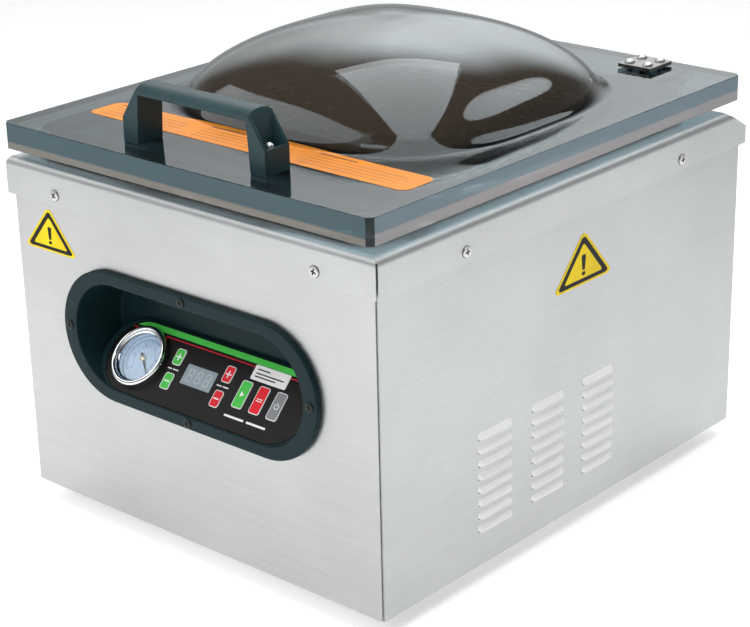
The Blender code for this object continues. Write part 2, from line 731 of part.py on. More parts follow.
def hinge_spots(side):
    half = HINGE_BOLT_SPACING / 2
    return [(side * HINGE_X + dx, HINGE_PLATE_Y + dy) for dx in (-half, half) for dy in (-half, half)]


HANDLE_Y = -0.1890
HANDLE_HALF_X = 0.0697
HANDLE_BOLT_X = 0.0622
HANDLE_DEPTH = 0.024
HANDLE_END = 0.0182


def add_slab_holes(build):
    """Through holes for the hinge bolts and blind holes for the handle bolts."""
    for side in (-1, 1):
        for x, y in hinge_spots(side):
            add_lathe(build, [(0.0024, -0.03), (0.0024, 0.01)], (x, y, LID_TOP), (0, 0, 1), 8)
        spot = (side * HANDLE_BOLT_X, HANDLE_Y, LID_TOP)
        add_lathe(build, [(0.0024, -0.010), (0.0024, 0.01)], spot, (0, 0, 1), 8)


lid = solid_of("lid", ACRYLIC, [add_lid], [add_slab_holes])
move_origin(lid, HINGE_POINT)


def add_gasket(build):
    """A flat sealing ring between the deck and the slab."""
    outer = rounded(-0.167, 0.167, -0.208, 0.168, 0.022, 4)
    inner = rounded(-0.153, 0.153, -0.194, 0.154, 0.010, 4)
    low = DECK_TOP + GAP
    high = LID_BOTTOM - GAP
    loft(build, [at_height(outer, low), at_height(outer, high), at_height(inner, high), at_height(inner, low)], True)


move_origin(simple("lid_gasket", SILICONE, add_gasket), HINGE_POINT)


def handle_outline(crown):
    """The bridge handle's profile seen from the front; crown is the height of its top."""
    half, shoulder, end = HANDLE_HALF_X, 0.0550, HANDLE_END
    inside, underside, foot = 0.0530, 0.0365, 0.0555
    base = LID_TOP + GAP
    rise = ((half, base), (half, base + end), (shoulder, base + crown), (-shoulder, base + crown),
            (-half, base + end), (-half, base), (-foot, base), (-inside, base + underside),
            (inside, base + underside), (foot, base))
    return rise


def add_handle(build):
    half = HANDLE_DEPTH / 2
    slices = ((-half, 0.0398), (-half * 0.6, 0.0430), (0.0, 0.0440), (half * 0.6, 0.0430), (half, 0.0398))
    loft(build, [[along_y(x, z, HANDLE_Y + dy) for x, z in handle_outline(crown)] for dy, crown in slices])


HANDLE_SEAT = LID_TOP + GAP + 0.0155


def add_handle_pockets(build):
    """The open space at each end that takes a fixing bolt, over an end wall with a level rim."""
    wall = 0.0023
    half = HANDLE_DEPTH / 2 - wall
    rim = LID_TOP + GAP + HANDLE_END
    high, beyond = HANDLE_SEAT + 0.04, HANDLE_HALF_X + 0.01
    for side in (-1, 1):
        outline = [(side * 0.0582, HANDLE_SEAT), (side * (HANDLE_HALF_X - wall), HANDLE_SEAT),
                   (side * (HANDLE_HALF_X - wall), rim), (side * beyond, rim),
                   (side * beyond, high), (side * 0.0560, high)]
        add_prism(build, outline, HANDLE_Y - half, HANDLE_Y + half, along_y)


def add_handle_bores(build):
    for side in (-1, 1):
        spot = (side * HANDLE_BOLT_X, HANDLE_Y, HANDLE_SEAT)
        add_lathe(build, [(0.0024, -0.03), (0.0024, 0.001)], spot, (0, 0, 1), 8)


move_origin(solid_of("lid_handle", TEAL, [add_handle], [add_handle_bores, add_handle_pockets]), HINGE_POINT)

for label, side in (("left", -1), ("right", 1)):
    seat = (side * HANDLE_BOLT_X, HANDLE_Y, HANDLE_SEAT)
    bolt = simple(f"handle_bolt_{label}", BRIGHT_STEEL, lambda build, seat=seat: add_lathe(
        build, [(0.0020, -0.0245), (0.0020, GAP), (0.0037, GAP), (0.0036, 0.0018), (0.0026, 0.0030),
                (0.0010, 0.0036)], seat, (0, 0, 1), 10))
    move_origin(bolt, HINGE_POINT)

# ---------------------------------------------------------------- hinges

WASHER = 0.0010
CLAMP = 0.0028


def hinge_clamp(label, side):
    """The square plate on top of the slab with its four washers and domed bolts."""
    half = HINGE_PLATE / 2
    x = side * HINGE_X
    low = LID_TOP + GAP + WASHER

    def plate(build):
        outline = rounded(x - half, x + half, HINGE_PLATE_Y - half, HINGE_PLATE_Y + half, 0.0012, 1)
        loft(build, [at_height(outline, low), at_height(outline, low + CLAMP)])

    def bolts(build):
        for bx, by in hinge_spots(side):
            profile = [(0.0019, LID_BOTTOM + 0.0005), (0.0019, LID_TOP + GAP), (0.0040, LID_TOP + GAP),
                       (0.0040, low + CLAMP * 0.5), (0.0038, low + CLAMP + 0.0009),
                       (0.0026, low + CLAMP + 0.0022), (0.0009, low + CLAMP + 0.0027)]
            add_lathe(build, profile, (bx, by, 0), (0, 0, 1), 10)

    return move_origin(solid_of(f"hinge_clamp_{label}", BRIGHT_STEEL, [plate, bolts]), HINGE_POINT)


BARREL = 0.0052
PIN = 0.0022
BARREL_BORE = 0.0026
KNUCKLE_HALF = 0.0075


def hinge_leaf(label, side):
    """The strap under the slab that ends in the hinge's middle knuckle."""
    x = side * HINGE_X
    half = HINGE_PLATE / 2
    high = LID_BOTTOM - GAP
    low = high - 0.003

    def strap(build):
        add_box(build, (x - half, HINGE_PLATE_Y - half, low), (x + half, 0.2200, high))

    def neck(build):
        add_box(build, (x - KNUCKLE_HALF, 0.2180, HINGE_AXIS_Z + 0.0032), (x + KNUCKLE_HALF, HINGE_AXIS_Y, high))

    def barrel(build):
        add_lathe(build, [(BARREL, -KNUCKLE_HALF + 0.0001), (BARREL, KNUCKLE_HALF - 0.0001)],
                  (x, HINGE_AXIS_Y, HINGE_AXIS_Z), (1, 0, 0), 16)

    def bore(build):
        add_lathe(build, [(BARREL_BORE, -0.02), (BARREL_BORE, 0.02)], (x, HINGE_AXIS_Y, HINGE_AXIS_Z), (1, 0, 0), 16)

    return move_origin(solid_of(f"hinge_leaf_{label}", STEEL, [strap, neck, barrel], [bore]), HINGE_POINT)


def hinge_bracket(label, side):
    """The fixed half: a plate on the rear skirt, two outer knuckles and the pin between them."""
    x = side * HINGE_X
    half = HINGE_PLATE / 2
    skirt = HALF_DEPTH + SKIRT_OVERHANG + GAP
    gap = KNUCKLE_HALF + 0.0004

    def plate(build):
        add_box(build, (x - half, skirt, SKIRT_BOTTOM + 0.0008), (x + half, skirt + 0.0030, HINGE_AXIS_Z + 0.001))

    def knuckles(build):
        for start, end in ((-half, -gap), (gap, half)):
            add_box(build, (x + start, skirt + 0.002, HINGE_AXIS_Z - 0.0045),
                    (x + end, HINGE_AXIS_Y, HINGE_AXIS_Z + 0.0008))

    def barrels(build):
        for start, end in ((-half, -gap), (gap, half)):
            add_lathe(build, [(BARREL, start), (BARREL, end)], (x, HINGE_AXIS_Y, HINGE_AXIS_Z), (1, 0, 0), 16)

    def pin(build):
        add_lathe(build, [(PIN, -half + 0.002), (PIN, half - 0.002)], (x, HINGE_AXIS_Y, HINGE_AXIS_Z), (1, 0, 0), 16)

    def screws(build):
        for dx in (-0.009, 0.009):
            add_lathe(build, [(0.0034, 0), (0.0032, 0.0012), (0.0018, 0.0020)],
                      (x + dx, skirt + 0.0028, SKIRT_BOTTOM + 0.0070), (0, 1, 0), 10)

    return solid_of(f"hinge_bracket_{label}", STEEL, [plate, knuckles, barrels, pin, screws])


for label, side in (("left", -1), ("right", 1)):
    hinge_clamp(label, side)
    hinge_leaf(label, side)
    hinge_bracket(label, side)

# ---------------------------------------------------------------- sealing gear

COUNTER_BOTTOM = 0.2790
boxes("counter_bar", SILICONE, [
    ((-SEAL_BAR_HALF_X, -0.1430, COUNTER_BOTTOM), (SEAL_BAR_HALF_X, -0.1290, LID_BOTTOM - GAP)),
], HINGE_POINT)


def add_seal_bar(build):
    """A bar with a narrow crown that carries the heating strip."""
    half = SEAL_BAR_WIDTH / 2
    outline = [(-half, 0.2420), (half, 0.2420), (half, SEAL_BAR_TOP - 0.003), (0.0035, SEAL_BAR_TOP),
               (-0.0035, SEAL_BAR_TOP), (-half, SEAL_BAR_TOP - 0.003)]
    add_prism(build, [(SEAL_BAR_Y + y, z) for y, z in outline], -SEAL_BAR_HALF_X, SEAL_BAR_HALF_X, along_x)


def add_seal_posts(build):
    for x in (-SEAL_POST_X, SEAL_POST_X):
        add_lathe(build, [(0.0050, 0.004), (0.0050, 0.021)], (x, SEAL_BAR_Y, TUB_FLOOR), (0, 0, 1), 12)


def add_seal_bores(build):
    for x in (-SEAL_POST_X, SEAL_POST_X):
        add_lathe(build, [(0.0029, -0.01), (0.0029, 0.027)], (x, SEAL_BAR_Y, TUB_FLOOR), (0, 0, 1), 12)


seal_bar = solid_of("seal_bar", BRIGHT_STEEL, [add_seal_bar, add_seal_posts], [add_seal_bores])
move_origin(seal_bar, (0, SEAL_BAR_Y, SEAL_BAR_TOP))

# ---------------------------------------------------------------- pump and electrics

FLOOR_TOP = CAB_BOTTOM + 2 * SHEET + 2 * GAP
MOTOR_FRONT = -0.0200
MOTOR_REAR = 0.1200
MOTOR_RADIUS = 0.048


def pump_block(build):
    add_box(build, (PUMP_X - 0.042, -0.120, FLOOR_TOP + 0.006), (PUMP_X + 0.042, MOTOR_FRONT - GAP, PUMP_Z + 0.045))


def pump_fins(build):
    for i in range(5):
        y = -0.112 + i * 0.018
        add_box(build, (PUMP_X - 0.048, y, FLOOR_TOP + 0.014), (PUMP_X + 0.048, y + 0.006, PUMP_Z + 0.038))


def pump_feet(build):
    for x in (PUMP_X - 0.036, PUMP_X + 0.036):
        add_box(build, (x - 0.010, -0.110, FLOOR_TOP), (x + 0.010, -0.030, FLOOR_TOP + 0.010))


def pump_intake(build):
    add_lathe(build, [(0.010, -0.004), (0.010, 0.006), (0.0065, 0.006), (0.0065, 0.018)],
              (PUMP_X, -0.075, PUMP_Z + 0.045), (0, 0, 1), 12)


solid_of("vacuum_pump", CASTING, [pump_block, pump_fins, pump_feet, pump_intake])


def motor_can(build):
    middle = (PUMP_X, MOTOR_FRONT, PUMP_Z)
    length = MOTOR_REAR - MOTOR_FRONT
    add_lathe(build, [(MOTOR_RADIUS * 0.9, 0), (MOTOR_RADIUS, 0.008), (MOTOR_RADIUS, length - 0.012),
                      (MOTOR_RADIUS * 0.75, length), (0.0035, length), (0.0035, length + 0.018)],
              middle, (0, 1, 0), 20)


def motor_feet(build):
    for y in (0.010, 0.085):
        add_box(build, (PUMP_X - 0.040, y, FLOOR_TOP), (PUMP_X + 0.040, y + 0.016, FLOOR_TOP + 0.022))


def motor_box(build):
    add_box(build, (PUMP_X - 0.022, 0.020, PUMP_Z + 0.040), (PUMP_X + 0.022, 0.080, PUMP_Z + 0.066))


solid_of("pump_motor", CASTING, [motor_can, motor_feet, motor_box])

FAN_Y = MOTOR_REAR + 0.010


def fan_hub(build):
    add_lathe(build, [(0.011, -0.005), (0.011, 0.006)], (PUMP_X, FAN_Y, PUMP_Z), (0, 1, 0), 12)


def fan_blades(build):
    pitch = math.radians(32)
    for i in range(6):
        turn = Matrix.Rotation(math.radians(60 * i), 4, "Y")
        place = Matrix.Translation((PUMP_X, FAN_Y, PUMP_Z)) @ turn @ Matrix.Rotation(pitch, 4, "X")
        add_box(build, (0.0090, -0.0008, -0.0085), (0.0430, 0.0008, 0.0085), place)


def fan_bore(build):
    add_lathe(build, [(0.0039, -0.02), (0.0039, 0.02)], (PUMP_X, FAN_Y, PUMP_Z), (0, 1, 0), 12)


fan = solid_of("cooling_fan", BLACK, [fan_hub, fan_blades], [fan_bore])
move_origin(fan, (PUMP_X, FAN_Y, PUMP_Z))

boxes("transformer", COPPER, [
    ((0.050, 0.030, FLOOR_TOP), (0.130, 0.090, FLOOR_TOP + 0.068)),
    ((0.060, 0.018, FLOOR_TOP + 0.012), (0.120, 0.102, FLOOR_TOP + 0.056)),
    ((0.038, 0.036, FLOOR_TOP), (0.142, 0.084, FLOOR_TOP + 0.003)),
])

BOARD_Y = RECESS_BACK + BEZEL_WALL + 0.008
boxes("control_board", BOARD, [
    ((-0.070, BOARD_Y, 0.1350), (0.070, BOARD_Y + 0.0016, 0.1900)),
    ((-0.060, BOARD_Y + 0.001, 0.1420), (-0.035, BOARD_Y + 0.014, 0.1580)),
    ((-0.025, BOARD_Y + 0.001, 0.1450), (0.005, BOARD_Y + 0.010, 0.1720)),
    ((0.020, BOARD_Y + 0.001, 0.1400), (0.050, BOARD_Y + 0.012, 0.1500)),
    ((0.020, BOARD_Y + 0.001, 0.1600), (0.034, BOARD_Y + 0.012, 0.1840)),
    ((-0.066, BOARD_Y - 0.0077, 0.1820), (-0.060, BOARD_Y + 0.001, 0.1880)),
    ((0.060, BOARD_Y - 0.0077, 0.1820), (0.066, BOARD_Y + 0.001, 0.1880)),
])

VALVE_X = 0.060
VALVE_Y = -0.040
boxes("vent_valve", BRIGHT_STEEL, [
    ((VALVE_X - 0.016, VALVE_Y - 0.016, TUB_FLOOR - SHEET - GAP - 0.046),
     (VALVE_X + 0.016, VALVE_Y + 0.016, TUB_FLOOR - SHEET - GAP - 0.014)),
    ((VALVE_X - 0.010, VALVE_Y - 0.010, TUB_FLOOR - SHEET - GAP - 0.020),
     (VALVE_X + 0.010, VALVE_Y + 0.010, TUB_FLOOR - SHEET - GAP)),
    ((VALVE_X - 0.030, VALVE_Y - 0.005, TUB_FLOOR - SHEET - GAP - 0.036),
     (VALVE_X + 0.030, VALVE_Y + 0.005, TUB_FLOOR - SHEET - GAP - 0.026)),
])


def add_hose(build):
    """A bent tube from the pump's intake to the chamber's port, swept along a Bezier curve."""
    start = Vector((PUMP_X, -0.075, PUMP_Z + 0.063 + GAP))
    end = Vector((PORT_X, PORT_Y, TUB_FLOOR - SHEET * 0.5 - 0.012 - GAP))
    rise = Vector((0, 0, 0.045))
    drop = Vector((0.0, 0.0, -0.060))
    radius, steps, sides = 0.0065, 18, 8
    loops = []
    for i in range(steps + 1):
        t = i / steps
        weights = ((1 - t) ** 3, 3 * t * (1 - t) ** 2, 3 * t ** 2 * (1 - t), t ** 3)
        points = (start, start + rise, end + drop, end)
        middle = sum((point * weight for point, weight in zip(points, weights)), Vector())
        slopes = ((1 - t) ** 2, 2 * t * (1 - t), t ** 2)
        heading = sum(((b - a) * slope for a, b, slope in zip(points, points[1:], slopes)), Vector())
        across = heading.cross(Vector((0.53, -0.85, 0))).normalized()
        lift = heading.cross(across).normalized()
        loops.append([middle + across * (radius * math.cos(math.tau * k / sides))
                      + lift * (radius * math.sin(math.tau * k / sides)) for k in range(sides)])
    loft(build, loops)


simple("vacuum_hose", RUBBER, add_hose)


def inlet_flange(build):
    outline = rounded(INLET_X - 0.024, INLET_X + 0.024, INLET_Z - 0.014, INLET_Z + 0.014, 0.004, 2)
    add_prism(build, outline, HALF_DEPTH + GAP, HALF_DEPTH + 0.0030, along_y)


def inlet_body(build):
    add_box(build, (INLET_X - 0.0145, HALF_DEPTH - 0.020, INLET_Z - 0.0105),
            (INLET_X + 0.0145, HALF_DEPTH + 0.001, INLET_Z + 0.0105))


def inlet_socket(build):
    """The keyed socket, with its two lower corners cut off."""
    outline = [(-0.012, 0.008), (0.012, 0.008), (0.012, -0.003), (0.007, -0.008), (-0.007, -0.008), (-0.012, -0.003)]
    add_prism(build, [(INLET_X + x, INLET_Z + z) for x, z in outline], HALF_DEPTH - 0.0130, HALF_DEPTH + 0.01, along_y)


def inlet_pins(build):
    for x, z in ((-0.007, -0.001), (0.007, -0.001), (0.0, 0.003)):
        add_box(build, (INLET_X + x - 0.001, HALF_DEPTH - 0.0140, INLET_Z + z - 0.002),
                (INLET_X + x + 0.001, HALF_DEPTH - 0.0060, INLET_Z + z + 0.002))


inlet = solid_of("power_inlet", BLACK, [inlet_flange, inlet_body], [inlet_socket])
boolean(inlet, inlet_pins, "UNION")

for made in bpy.context.scene.objects:
    made.location.y += FRAME_SHIFT_Y
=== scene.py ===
"""Chamber vacuum sealer: detailed pieces, finishes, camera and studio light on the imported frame."""

import json
import math

import bmesh
import bpy
from mathutils import Matrix, Vector

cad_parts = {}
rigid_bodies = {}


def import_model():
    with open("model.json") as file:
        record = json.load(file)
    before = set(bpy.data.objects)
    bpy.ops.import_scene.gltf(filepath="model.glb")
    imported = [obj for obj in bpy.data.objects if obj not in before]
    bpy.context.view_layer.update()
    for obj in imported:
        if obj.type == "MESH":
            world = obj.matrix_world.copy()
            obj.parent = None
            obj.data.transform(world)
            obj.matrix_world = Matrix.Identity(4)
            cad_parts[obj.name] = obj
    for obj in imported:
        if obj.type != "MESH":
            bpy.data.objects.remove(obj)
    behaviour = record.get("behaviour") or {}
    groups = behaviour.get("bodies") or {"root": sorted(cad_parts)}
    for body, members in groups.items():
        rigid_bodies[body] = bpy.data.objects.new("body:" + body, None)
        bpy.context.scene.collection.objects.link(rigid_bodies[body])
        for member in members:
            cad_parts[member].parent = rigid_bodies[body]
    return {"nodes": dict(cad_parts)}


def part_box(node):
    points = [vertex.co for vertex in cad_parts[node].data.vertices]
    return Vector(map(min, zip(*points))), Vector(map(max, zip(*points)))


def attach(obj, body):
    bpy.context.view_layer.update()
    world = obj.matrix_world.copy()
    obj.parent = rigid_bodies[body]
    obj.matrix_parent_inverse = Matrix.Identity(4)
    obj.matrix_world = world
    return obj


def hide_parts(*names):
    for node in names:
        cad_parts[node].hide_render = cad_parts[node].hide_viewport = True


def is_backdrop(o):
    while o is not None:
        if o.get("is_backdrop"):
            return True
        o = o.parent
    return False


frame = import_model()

NODES = frame["nodes"]
SCENE = bpy.context.scene
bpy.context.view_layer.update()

# ---------------------------------------------------------------- driving dimensions (metres)

GAP = 0.0003
LID_LOW, LID_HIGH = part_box("lid")
SHIFT_Y = -0.0058
HALF_WIDTH = 0.180
HALF_DEPTH = 0.216
FRONT_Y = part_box("front_panel")[0].y
DECK_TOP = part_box("top_deck")[1].z
SKIRT_OVERHANG = 0.0036

SLAB_BOTTOM = LID_LOW.z
SLAB_TOP = SLAB_BOTTOM + 0.0200
DOME_HALF_X = 0.1417
DOME_HALF_Y = 0.1406
DOME_CENTRE = Vector((0.0, 0.0085 + SHIFT_Y, SLAB_TOP))
DOME_HEIGHT = 0.0606
DOME_WALL = 0.0050

TILT = math.radians(44.0)
PANEL_ORIGIN = Vector((0.0, -0.2205 + SHIFT_Y, 0.1200))
PANEL_MIDDLE = 0.0294
PANEL_RADIUS = 0.0288
PANEL_HALF_LENGTH = 0.0720
BEZEL_Z = 0.1610
BEZEL_FACE = -0.2208 + SHIFT_Y
RECESS_BACK = -0.1760 + SHIFT_Y
RECESS_HALF, RECESS_RADIUS = 0.0734, 0.0414
FLANGE_HALF, FLANGE_RADIUS = 0.0770, 0.0511
GAUGE_U = -0.0674
DIAL_RADIUS = 0.0188
GAUGE_BORE = 0.0202

SCREW_SPREAD, SCREW_Z = 0.129, 0.2600
SKIRT_SCREW_RADIUS, BEZEL_SCREW_RADIUS = 0.0042, 0.0036
BEZEL_SCREW_RISE, BEZEL_SCREW_REACH = 0.04625, 0.12145
HINGE_X, HINGE_PLATE_Y = 0.1085, 0.1875 + SHIFT_Y
HINGE_PLATE_HALF, HINGE_PLATE_THICK = 0.0155, 0.0028
HINGE_BOLT_OFFSET = 0.0085
HANDLE_BOLT_X, HANDLE_Y = 0.0622, -0.1890 + SHIFT_Y
HANDLE_SEAT = SLAB_TOP + GAP + 0.0155

LOUVRE_COLUMNS, LOUVRE_ROWS = 3, 8
LOUVRE_FIRST_Y, LOUVRE_COLUMN_PITCH = -0.1132 + SHIFT_Y, 0.062
LOUVRE_LOWEST, LOUVRE_ROW_PITCH = 0.045, 0.01028
LOUVRE_LENGTH, LOUVRE_REACH, LOUVRE_SHELL = 0.0384, 0.0027, 0.0007

# ---------------------------------------------------------------- node helpers


class Shader:
    """A material with a Principled shader and short calls for the nodes that feed it."""

    def __init__(self, name, colour, roughness, metallic=0.0, **sockets):
        self.material = bpy.data.materials.new(name)
        self.material.use_nodes = True
        self.tree = self.material.node_tree
        self.nodes = self.tree.nodes
        self.principled = self.nodes["Principled BSDF"]
        self.output = self.nodes["Material Output"]
        self.set("Base Color", (*colour, 1.0))
        self.set("Roughness", roughness)
        self.set("Metallic", metallic)
        for socket, value in sockets.items():
            self.set(socket.replace("_", " "), value)

    def set(self, socket, value):
        self.principled.inputs[socket].default_value = value

    def add(self, kind, **inputs):
        node = self.nodes.new("ShaderNode" + kind)
        for name, value in inputs.items():
            socket = node.inputs[name.replace("_", " ")]
            if isinstance(value, bpy.types.NodeSocket):
                self.tree.links.new(value, socket)
            else:
                socket.default_value = value
        return node

    def link(self, source, target):
        self.tree.links.new(source, target)

    def coordinates(self, scale=(1.0, 1.0, 1.0)):
        """Object coordinates, which are metres in the frame, stretched along each axis."""
        spot = self.add("TexCoord").outputs["Object"]
        return self.add("Mapping", Vector=spot, Scale=scale).outputs["Vector"]

    def noise(self, scale, detail=3.0, stretch=(1.0, 1.0, 1.0), roughness=0.55):
        return self.add("TexNoise", Vector=self.coordinates(stretch), Scale=scale, Detail=detail,
                        Roughness=roughness).outputs["Fac"]

    def ramp(self, factor, low, high, start=0.3, end=0.7):
        """Maps a factor to a number between low and high."""
        node = self.add("MapRange", Value=factor)
        for name, value in (("From Min", start), ("From Max", end), ("To Min", low), ("To Max", high)):
            node.inputs[name].default_value = value
        return node.outputs["Result"]

    def tint(self, factor, first, second):
        """Mixes two colours by a factor."""
        node = self.nodes.new("ShaderNodeMix")
        node.data_type = "RGBA"
        self.link(factor, node.inputs["Factor"])
        node.inputs["A"].default_value = (*first, 1.0)
        node.inputs["B"].default_value = (*second, 1.0)
        return node.outputs["Result"]

    def colour(self, socket):
        self.link(socket, self.principled.inputs["Base Color"])

    def gloss(self, socket):
        self.link(socket, self.principled.inputs["Roughness"])

    def bump(self, height, strength, distance):
        node = self.add("Bump", Height=height, Strength=strength, Distance=distance)
        self.link(node.outputs["Normal"], self.principled.inputs["Normal"])


def brushed(name, colour, along, roughness=0.36, strength=0.10, metallic=1.0):
    """Sheet steel with fine brushing along one axis and faint cloudiness."""
    made = Shader(name, colour, roughness, metallic)
    stretch = [1.0, 1.0, 1.0]
    stretch["XYZ".index(along)] = 0.02
    streaks = made.noise(760.0, 2.0, stretch, 0.6)
    clouds = made.noise(9.0, 3.0)
    light = tuple(min(1.0, c * 1.08) for c in colour)
    dark = tuple(c * 0.92 for c in colour)
    blend = made.add("Math")
    blend.operation = "MULTIPLY_ADD"
    made.link(streaks, blend.inputs[0])
    blend.inputs[1].default_value = 0.55
    half = made.add("Math")
    half.operation = "MULTIPLY"
    made.link(clouds, half.inputs[0])
    half.inputs[1].default_value = 0.45
    made.link(half.outputs[0], blend.inputs[2])
    made.colour(made.tint(made.ramp(blend.outputs[0], 0.0, 1.0, 0.36, 0.64), dark, light))
    made.gloss(made.ramp(streaks, roughness - 0.06, roughness + 0.07, 0.3, 0.7))
    made.bump(streaks, strength, 0.0002)
    return made.material


def plastic(name, colour, roughness, grain=0.06, scale=1400.0, **sockets):
    """Moulded plastic or rubber: a fine grain, a little unevenness in colour and gloss."""
    made = Shader(name, colour, roughness, **sockets)
    grains = made.noise(scale, 2.0)
    patches = made.noise(40.0, 3.0)
    light = tuple(min(1.0, c * 1.12 + 0.002) for c in colour)
    dark = tuple(c * 0.90 for c in colour)
    made.colour(made.tint(made.ramp(patches, 0.0, 1.0), dark, light))
    made.gloss(made.ramp(patches, roughness - 0.05, roughness + 0.05))
    made.bump(grains, grain, 0.0002)
    return made.material


def polished(name, colour, roughness, metallic=1.0, streak=0.03):
    """Polished or plated metal with faint handling marks."""
    made = Shader(name, colour, roughness, metallic)
    marks = made.noise(220.0, 4.0, (1.0, 0.2, 1.0))
    made.gloss(made.ramp(marks, roughness * 0.8, roughness * 1.3 + 0.02))
    made.bump(marks, streak, 0.0001)
    return made.material


def glass(name, tint, roughness, ior=1.49, smoke=None, density=0.0, sheen=(1.0, 1.0, 1.0), clear_part=1.0):
    """Clear or smoked acrylic that lets lamps through, with an optional tint inside."""
    made = Shader(name, tint, roughness, 0.0, Transmission_Weight=clear_part, IOR=ior,
                  Specular_Tint=(*sheen, 1.0))
    marks = made.noise(60.0, 3.0)
    made.gloss(made.ramp(marks, roughness * 0.7, roughness * 1.3))
    clear = made.add("BsdfTransparent", Color=(*tuple(t ** 0.8 for t in tint), 1.0))
    mix = made.add("MixShader")
    path = made.add("LightPath")
    made.link(path.outputs["Is Shadow Ray"], mix.inputs[0])
    made.link(made.principled.outputs[0], mix.inputs[1])
    made.link(clear.outputs[0], mix.inputs[2])
    made.link(mix.outputs[0], made.output.inputs["Surface"])
    if smoke is not None:
        fog = made.add("VolumeAbsorption", Color=(*smoke, 1.0), Density=density)
        made.link(fog.outputs[0], made.output.inputs["Volume"])
    return made.material


def edge_glass(name, upper, lower, bond):
    """The slab's polished edge, nearly opaque: a smoked tone above, and below the bond height a painted band
    that stands in for the gasket seen through the acrylic.
    """
    made = Shader(name, upper, 0.10, 0.0, Transmission_Weight=0.15, IOR=1.49)
    place = made.add("SeparateXYZ")
    made.link(made.coordinates(), place.inputs[0])
    streaks = made.noise(60.0, 3.0, (0.15, 0.15, 1.0))
    made.gloss(made.ramp(streaks, 0.07, 0.16))
    middle, blur = SLAB_BOTTOM + bond, 0.0007
    share = made.ramp(place.outputs["Z"], 0.0, 1.0, middle - blur, middle + blur)
    made.colour(made.tint(share, lower, upper))
    return made.material


SMOKE = (0.30, 0.42, 0.46)
LOOK = {
    "steel_x": brushed("brushed_steel_across", (0.535, 0.540, 0.540), "X"),
    "steel_y": brushed("brushed_steel_deep", (0.510, 0.520, 0.525), "Y"),
    "steel_deck": brushed("brushed_steel_deck", (0.620, 0.630, 0.635), "X", 0.50),
    "bright": polished("bright_steel", (0.74, 0.74, 0.75), 0.20),
    "hinge_steel": polished("hinge_steel", (0.24, 0.24, 0.23), 0.32),
    # Painted highlight: the louvre hoods are the side sheet's steel, made near-white and barely metallic to
    # stand for the bright light they catch.
    "hood_steel_painted_highlight": brushed("hood_steel_painted_highlight", (0.97, 0.97, 0.98), "Y", 0.45, 0.04, 0.05),
    "screw": polished("screw_steel", (0.66, 0.66, 0.66), 0.32),
    "chrome": polished("chrome", (0.88, 0.88, 0.89), 0.07),
    "acrylic": glass("smoked_acrylic", (0.90, 0.95, 0.97), 0.02, 1.49, SMOKE, 85.0, (0.80, 0.93, 1.0)),
    # Painted shade and light: the end edges take a dark tone and the side edges a lighter one for how the
    # lamps fall on them; the band below the bond height is painted in place of the gasket seen through.
    "edge": edge_glass("smoked_edge_painted_shade", (0.022, 0.070, 0.088), (0.17, 0.160, 0.135), 0.0055),
    "side_edge": edge_glass("smoked_side_edge_painted_light", (0.140, 0.215, 0.260), (0.32, 0.305, 0.315), 0.0085),
    # The dome's inner faces: a darker, browner tint than the slab, partly the bronze smoke and partly painted
    # shade of the dark chamber seen through the dome.
    "dome": glass("smoked_dome_painted_shade", (0.62, 0.38, 0.24), 0.02, 1.49, SMOKE, 58.0, (0.84, 0.88, 0.91), 0.90),
    "lens": glass("clear_lens", (0.98, 0.99, 1.0), 0.01, 1.30),
    "teal": plastic("dark_teal_plastic", (0.006, 0.022, 0.026), 0.42, Specular_IOR_Level=0.14),
    "handle_teal": plastic("handle_teal_plastic", (0.018, 0.048, 0.056), 0.40, Specular_IOR_Level=0.30),
    "black": plastic("black_plastic", (0.006, 0.007, 0.008), 0.40, Specular_IOR_Level=0.4),
    "overlay": plastic("panel_overlay", (0.007, 0.005, 0.005), 0.45, 0.03, Specular_IOR_Level=0.22),
    "green": plastic("green_key", (0.080, 0.58, 0.085), 0.45, 0.03, Specular_IOR_Level=0.2),
    "red": plastic("red_key", (0.80, 0.016, 0.030), 0.45, 0.03, Specular_IOR_Level=0.2),
    "grey": plastic("grey_key", (0.26, 0.27, 0.29), 0.45, 0.03, Specular_IOR_Level=0.2),
    "white_print": plastic("white_print", (0.95, 0.95, 0.95), 0.45, 0.02, Specular_IOR_Level=0.2),
    "red_print": plastic("red_print", (0.62, 0.02, 0.04), 0.45, 0.02, Specular_IOR_Level=0.2),
    # Dark ink for print; the screws also use it as painted shade in their cross recesses and round their
    # heads.
    "dark_print_and_shade": plastic("dark_print_and_shade", (0.008, 0.007, 0.007), 0.5, 0.02, Specular_IOR_Level=0.2),
    "orange": plastic("orange_label", (0.78, 0.25, 0.012), 0.45, 0.02, Specular_IOR_Level=0.25),
    "brown_print": plastic("brown_print", (0.30, 0.10, 0.01), 0.45, 0.02, Specular_IOR_Level=0.25),
    "yellow": plastic("yellow_label", (0.92, 0.66, 0.004), 0.45, 0.02, Specular_IOR_Level=0.2),
    "display": plastic("display_grey", (0.27, 0.34, 0.38), 0.30, 0.02, Specular_IOR_Level=0.3),
    "segment": plastic("display_segment", (0.42, 0.50, 0.54), 0.30, 0.02),
    "dial": plastic("pale_blue_dial", (0.38, 0.49, 0.62), 0.50, 0.02),
    "blue_print": plastic("blue_print", (0.05, 0.10, 0.28), 0.5, 0.02),
    "brass": polished("needle_hub", (0.80, 0.72, 0.55), 0.25),
    "rubber": plastic("black_rubber", (0.012, 0.012, 0.012), 0.75, 0.15),
    "silicone": plastic("pale_silicone", (0.36, 0.32, 0.31), 0.6, 0.1),
    "board": plastic("white_polyethylene", (0.78, 0.78, 0.76), 0.5, 0.12),
    "casting": plastic("grey_casting", (0.10, 0.13, 0.17), 0.5, 0.35, 500.0),
    "copper": plastic("copper_winding", (0.42, 0.17, 0.06), 0.35, 0.2, Metallic=0.7),
    "circuit": plastic("circuit_board", (0.02, 0.16, 0.06), 0.4, 0.1),
}

# ---------------------------------------------------------------- mesh helpers


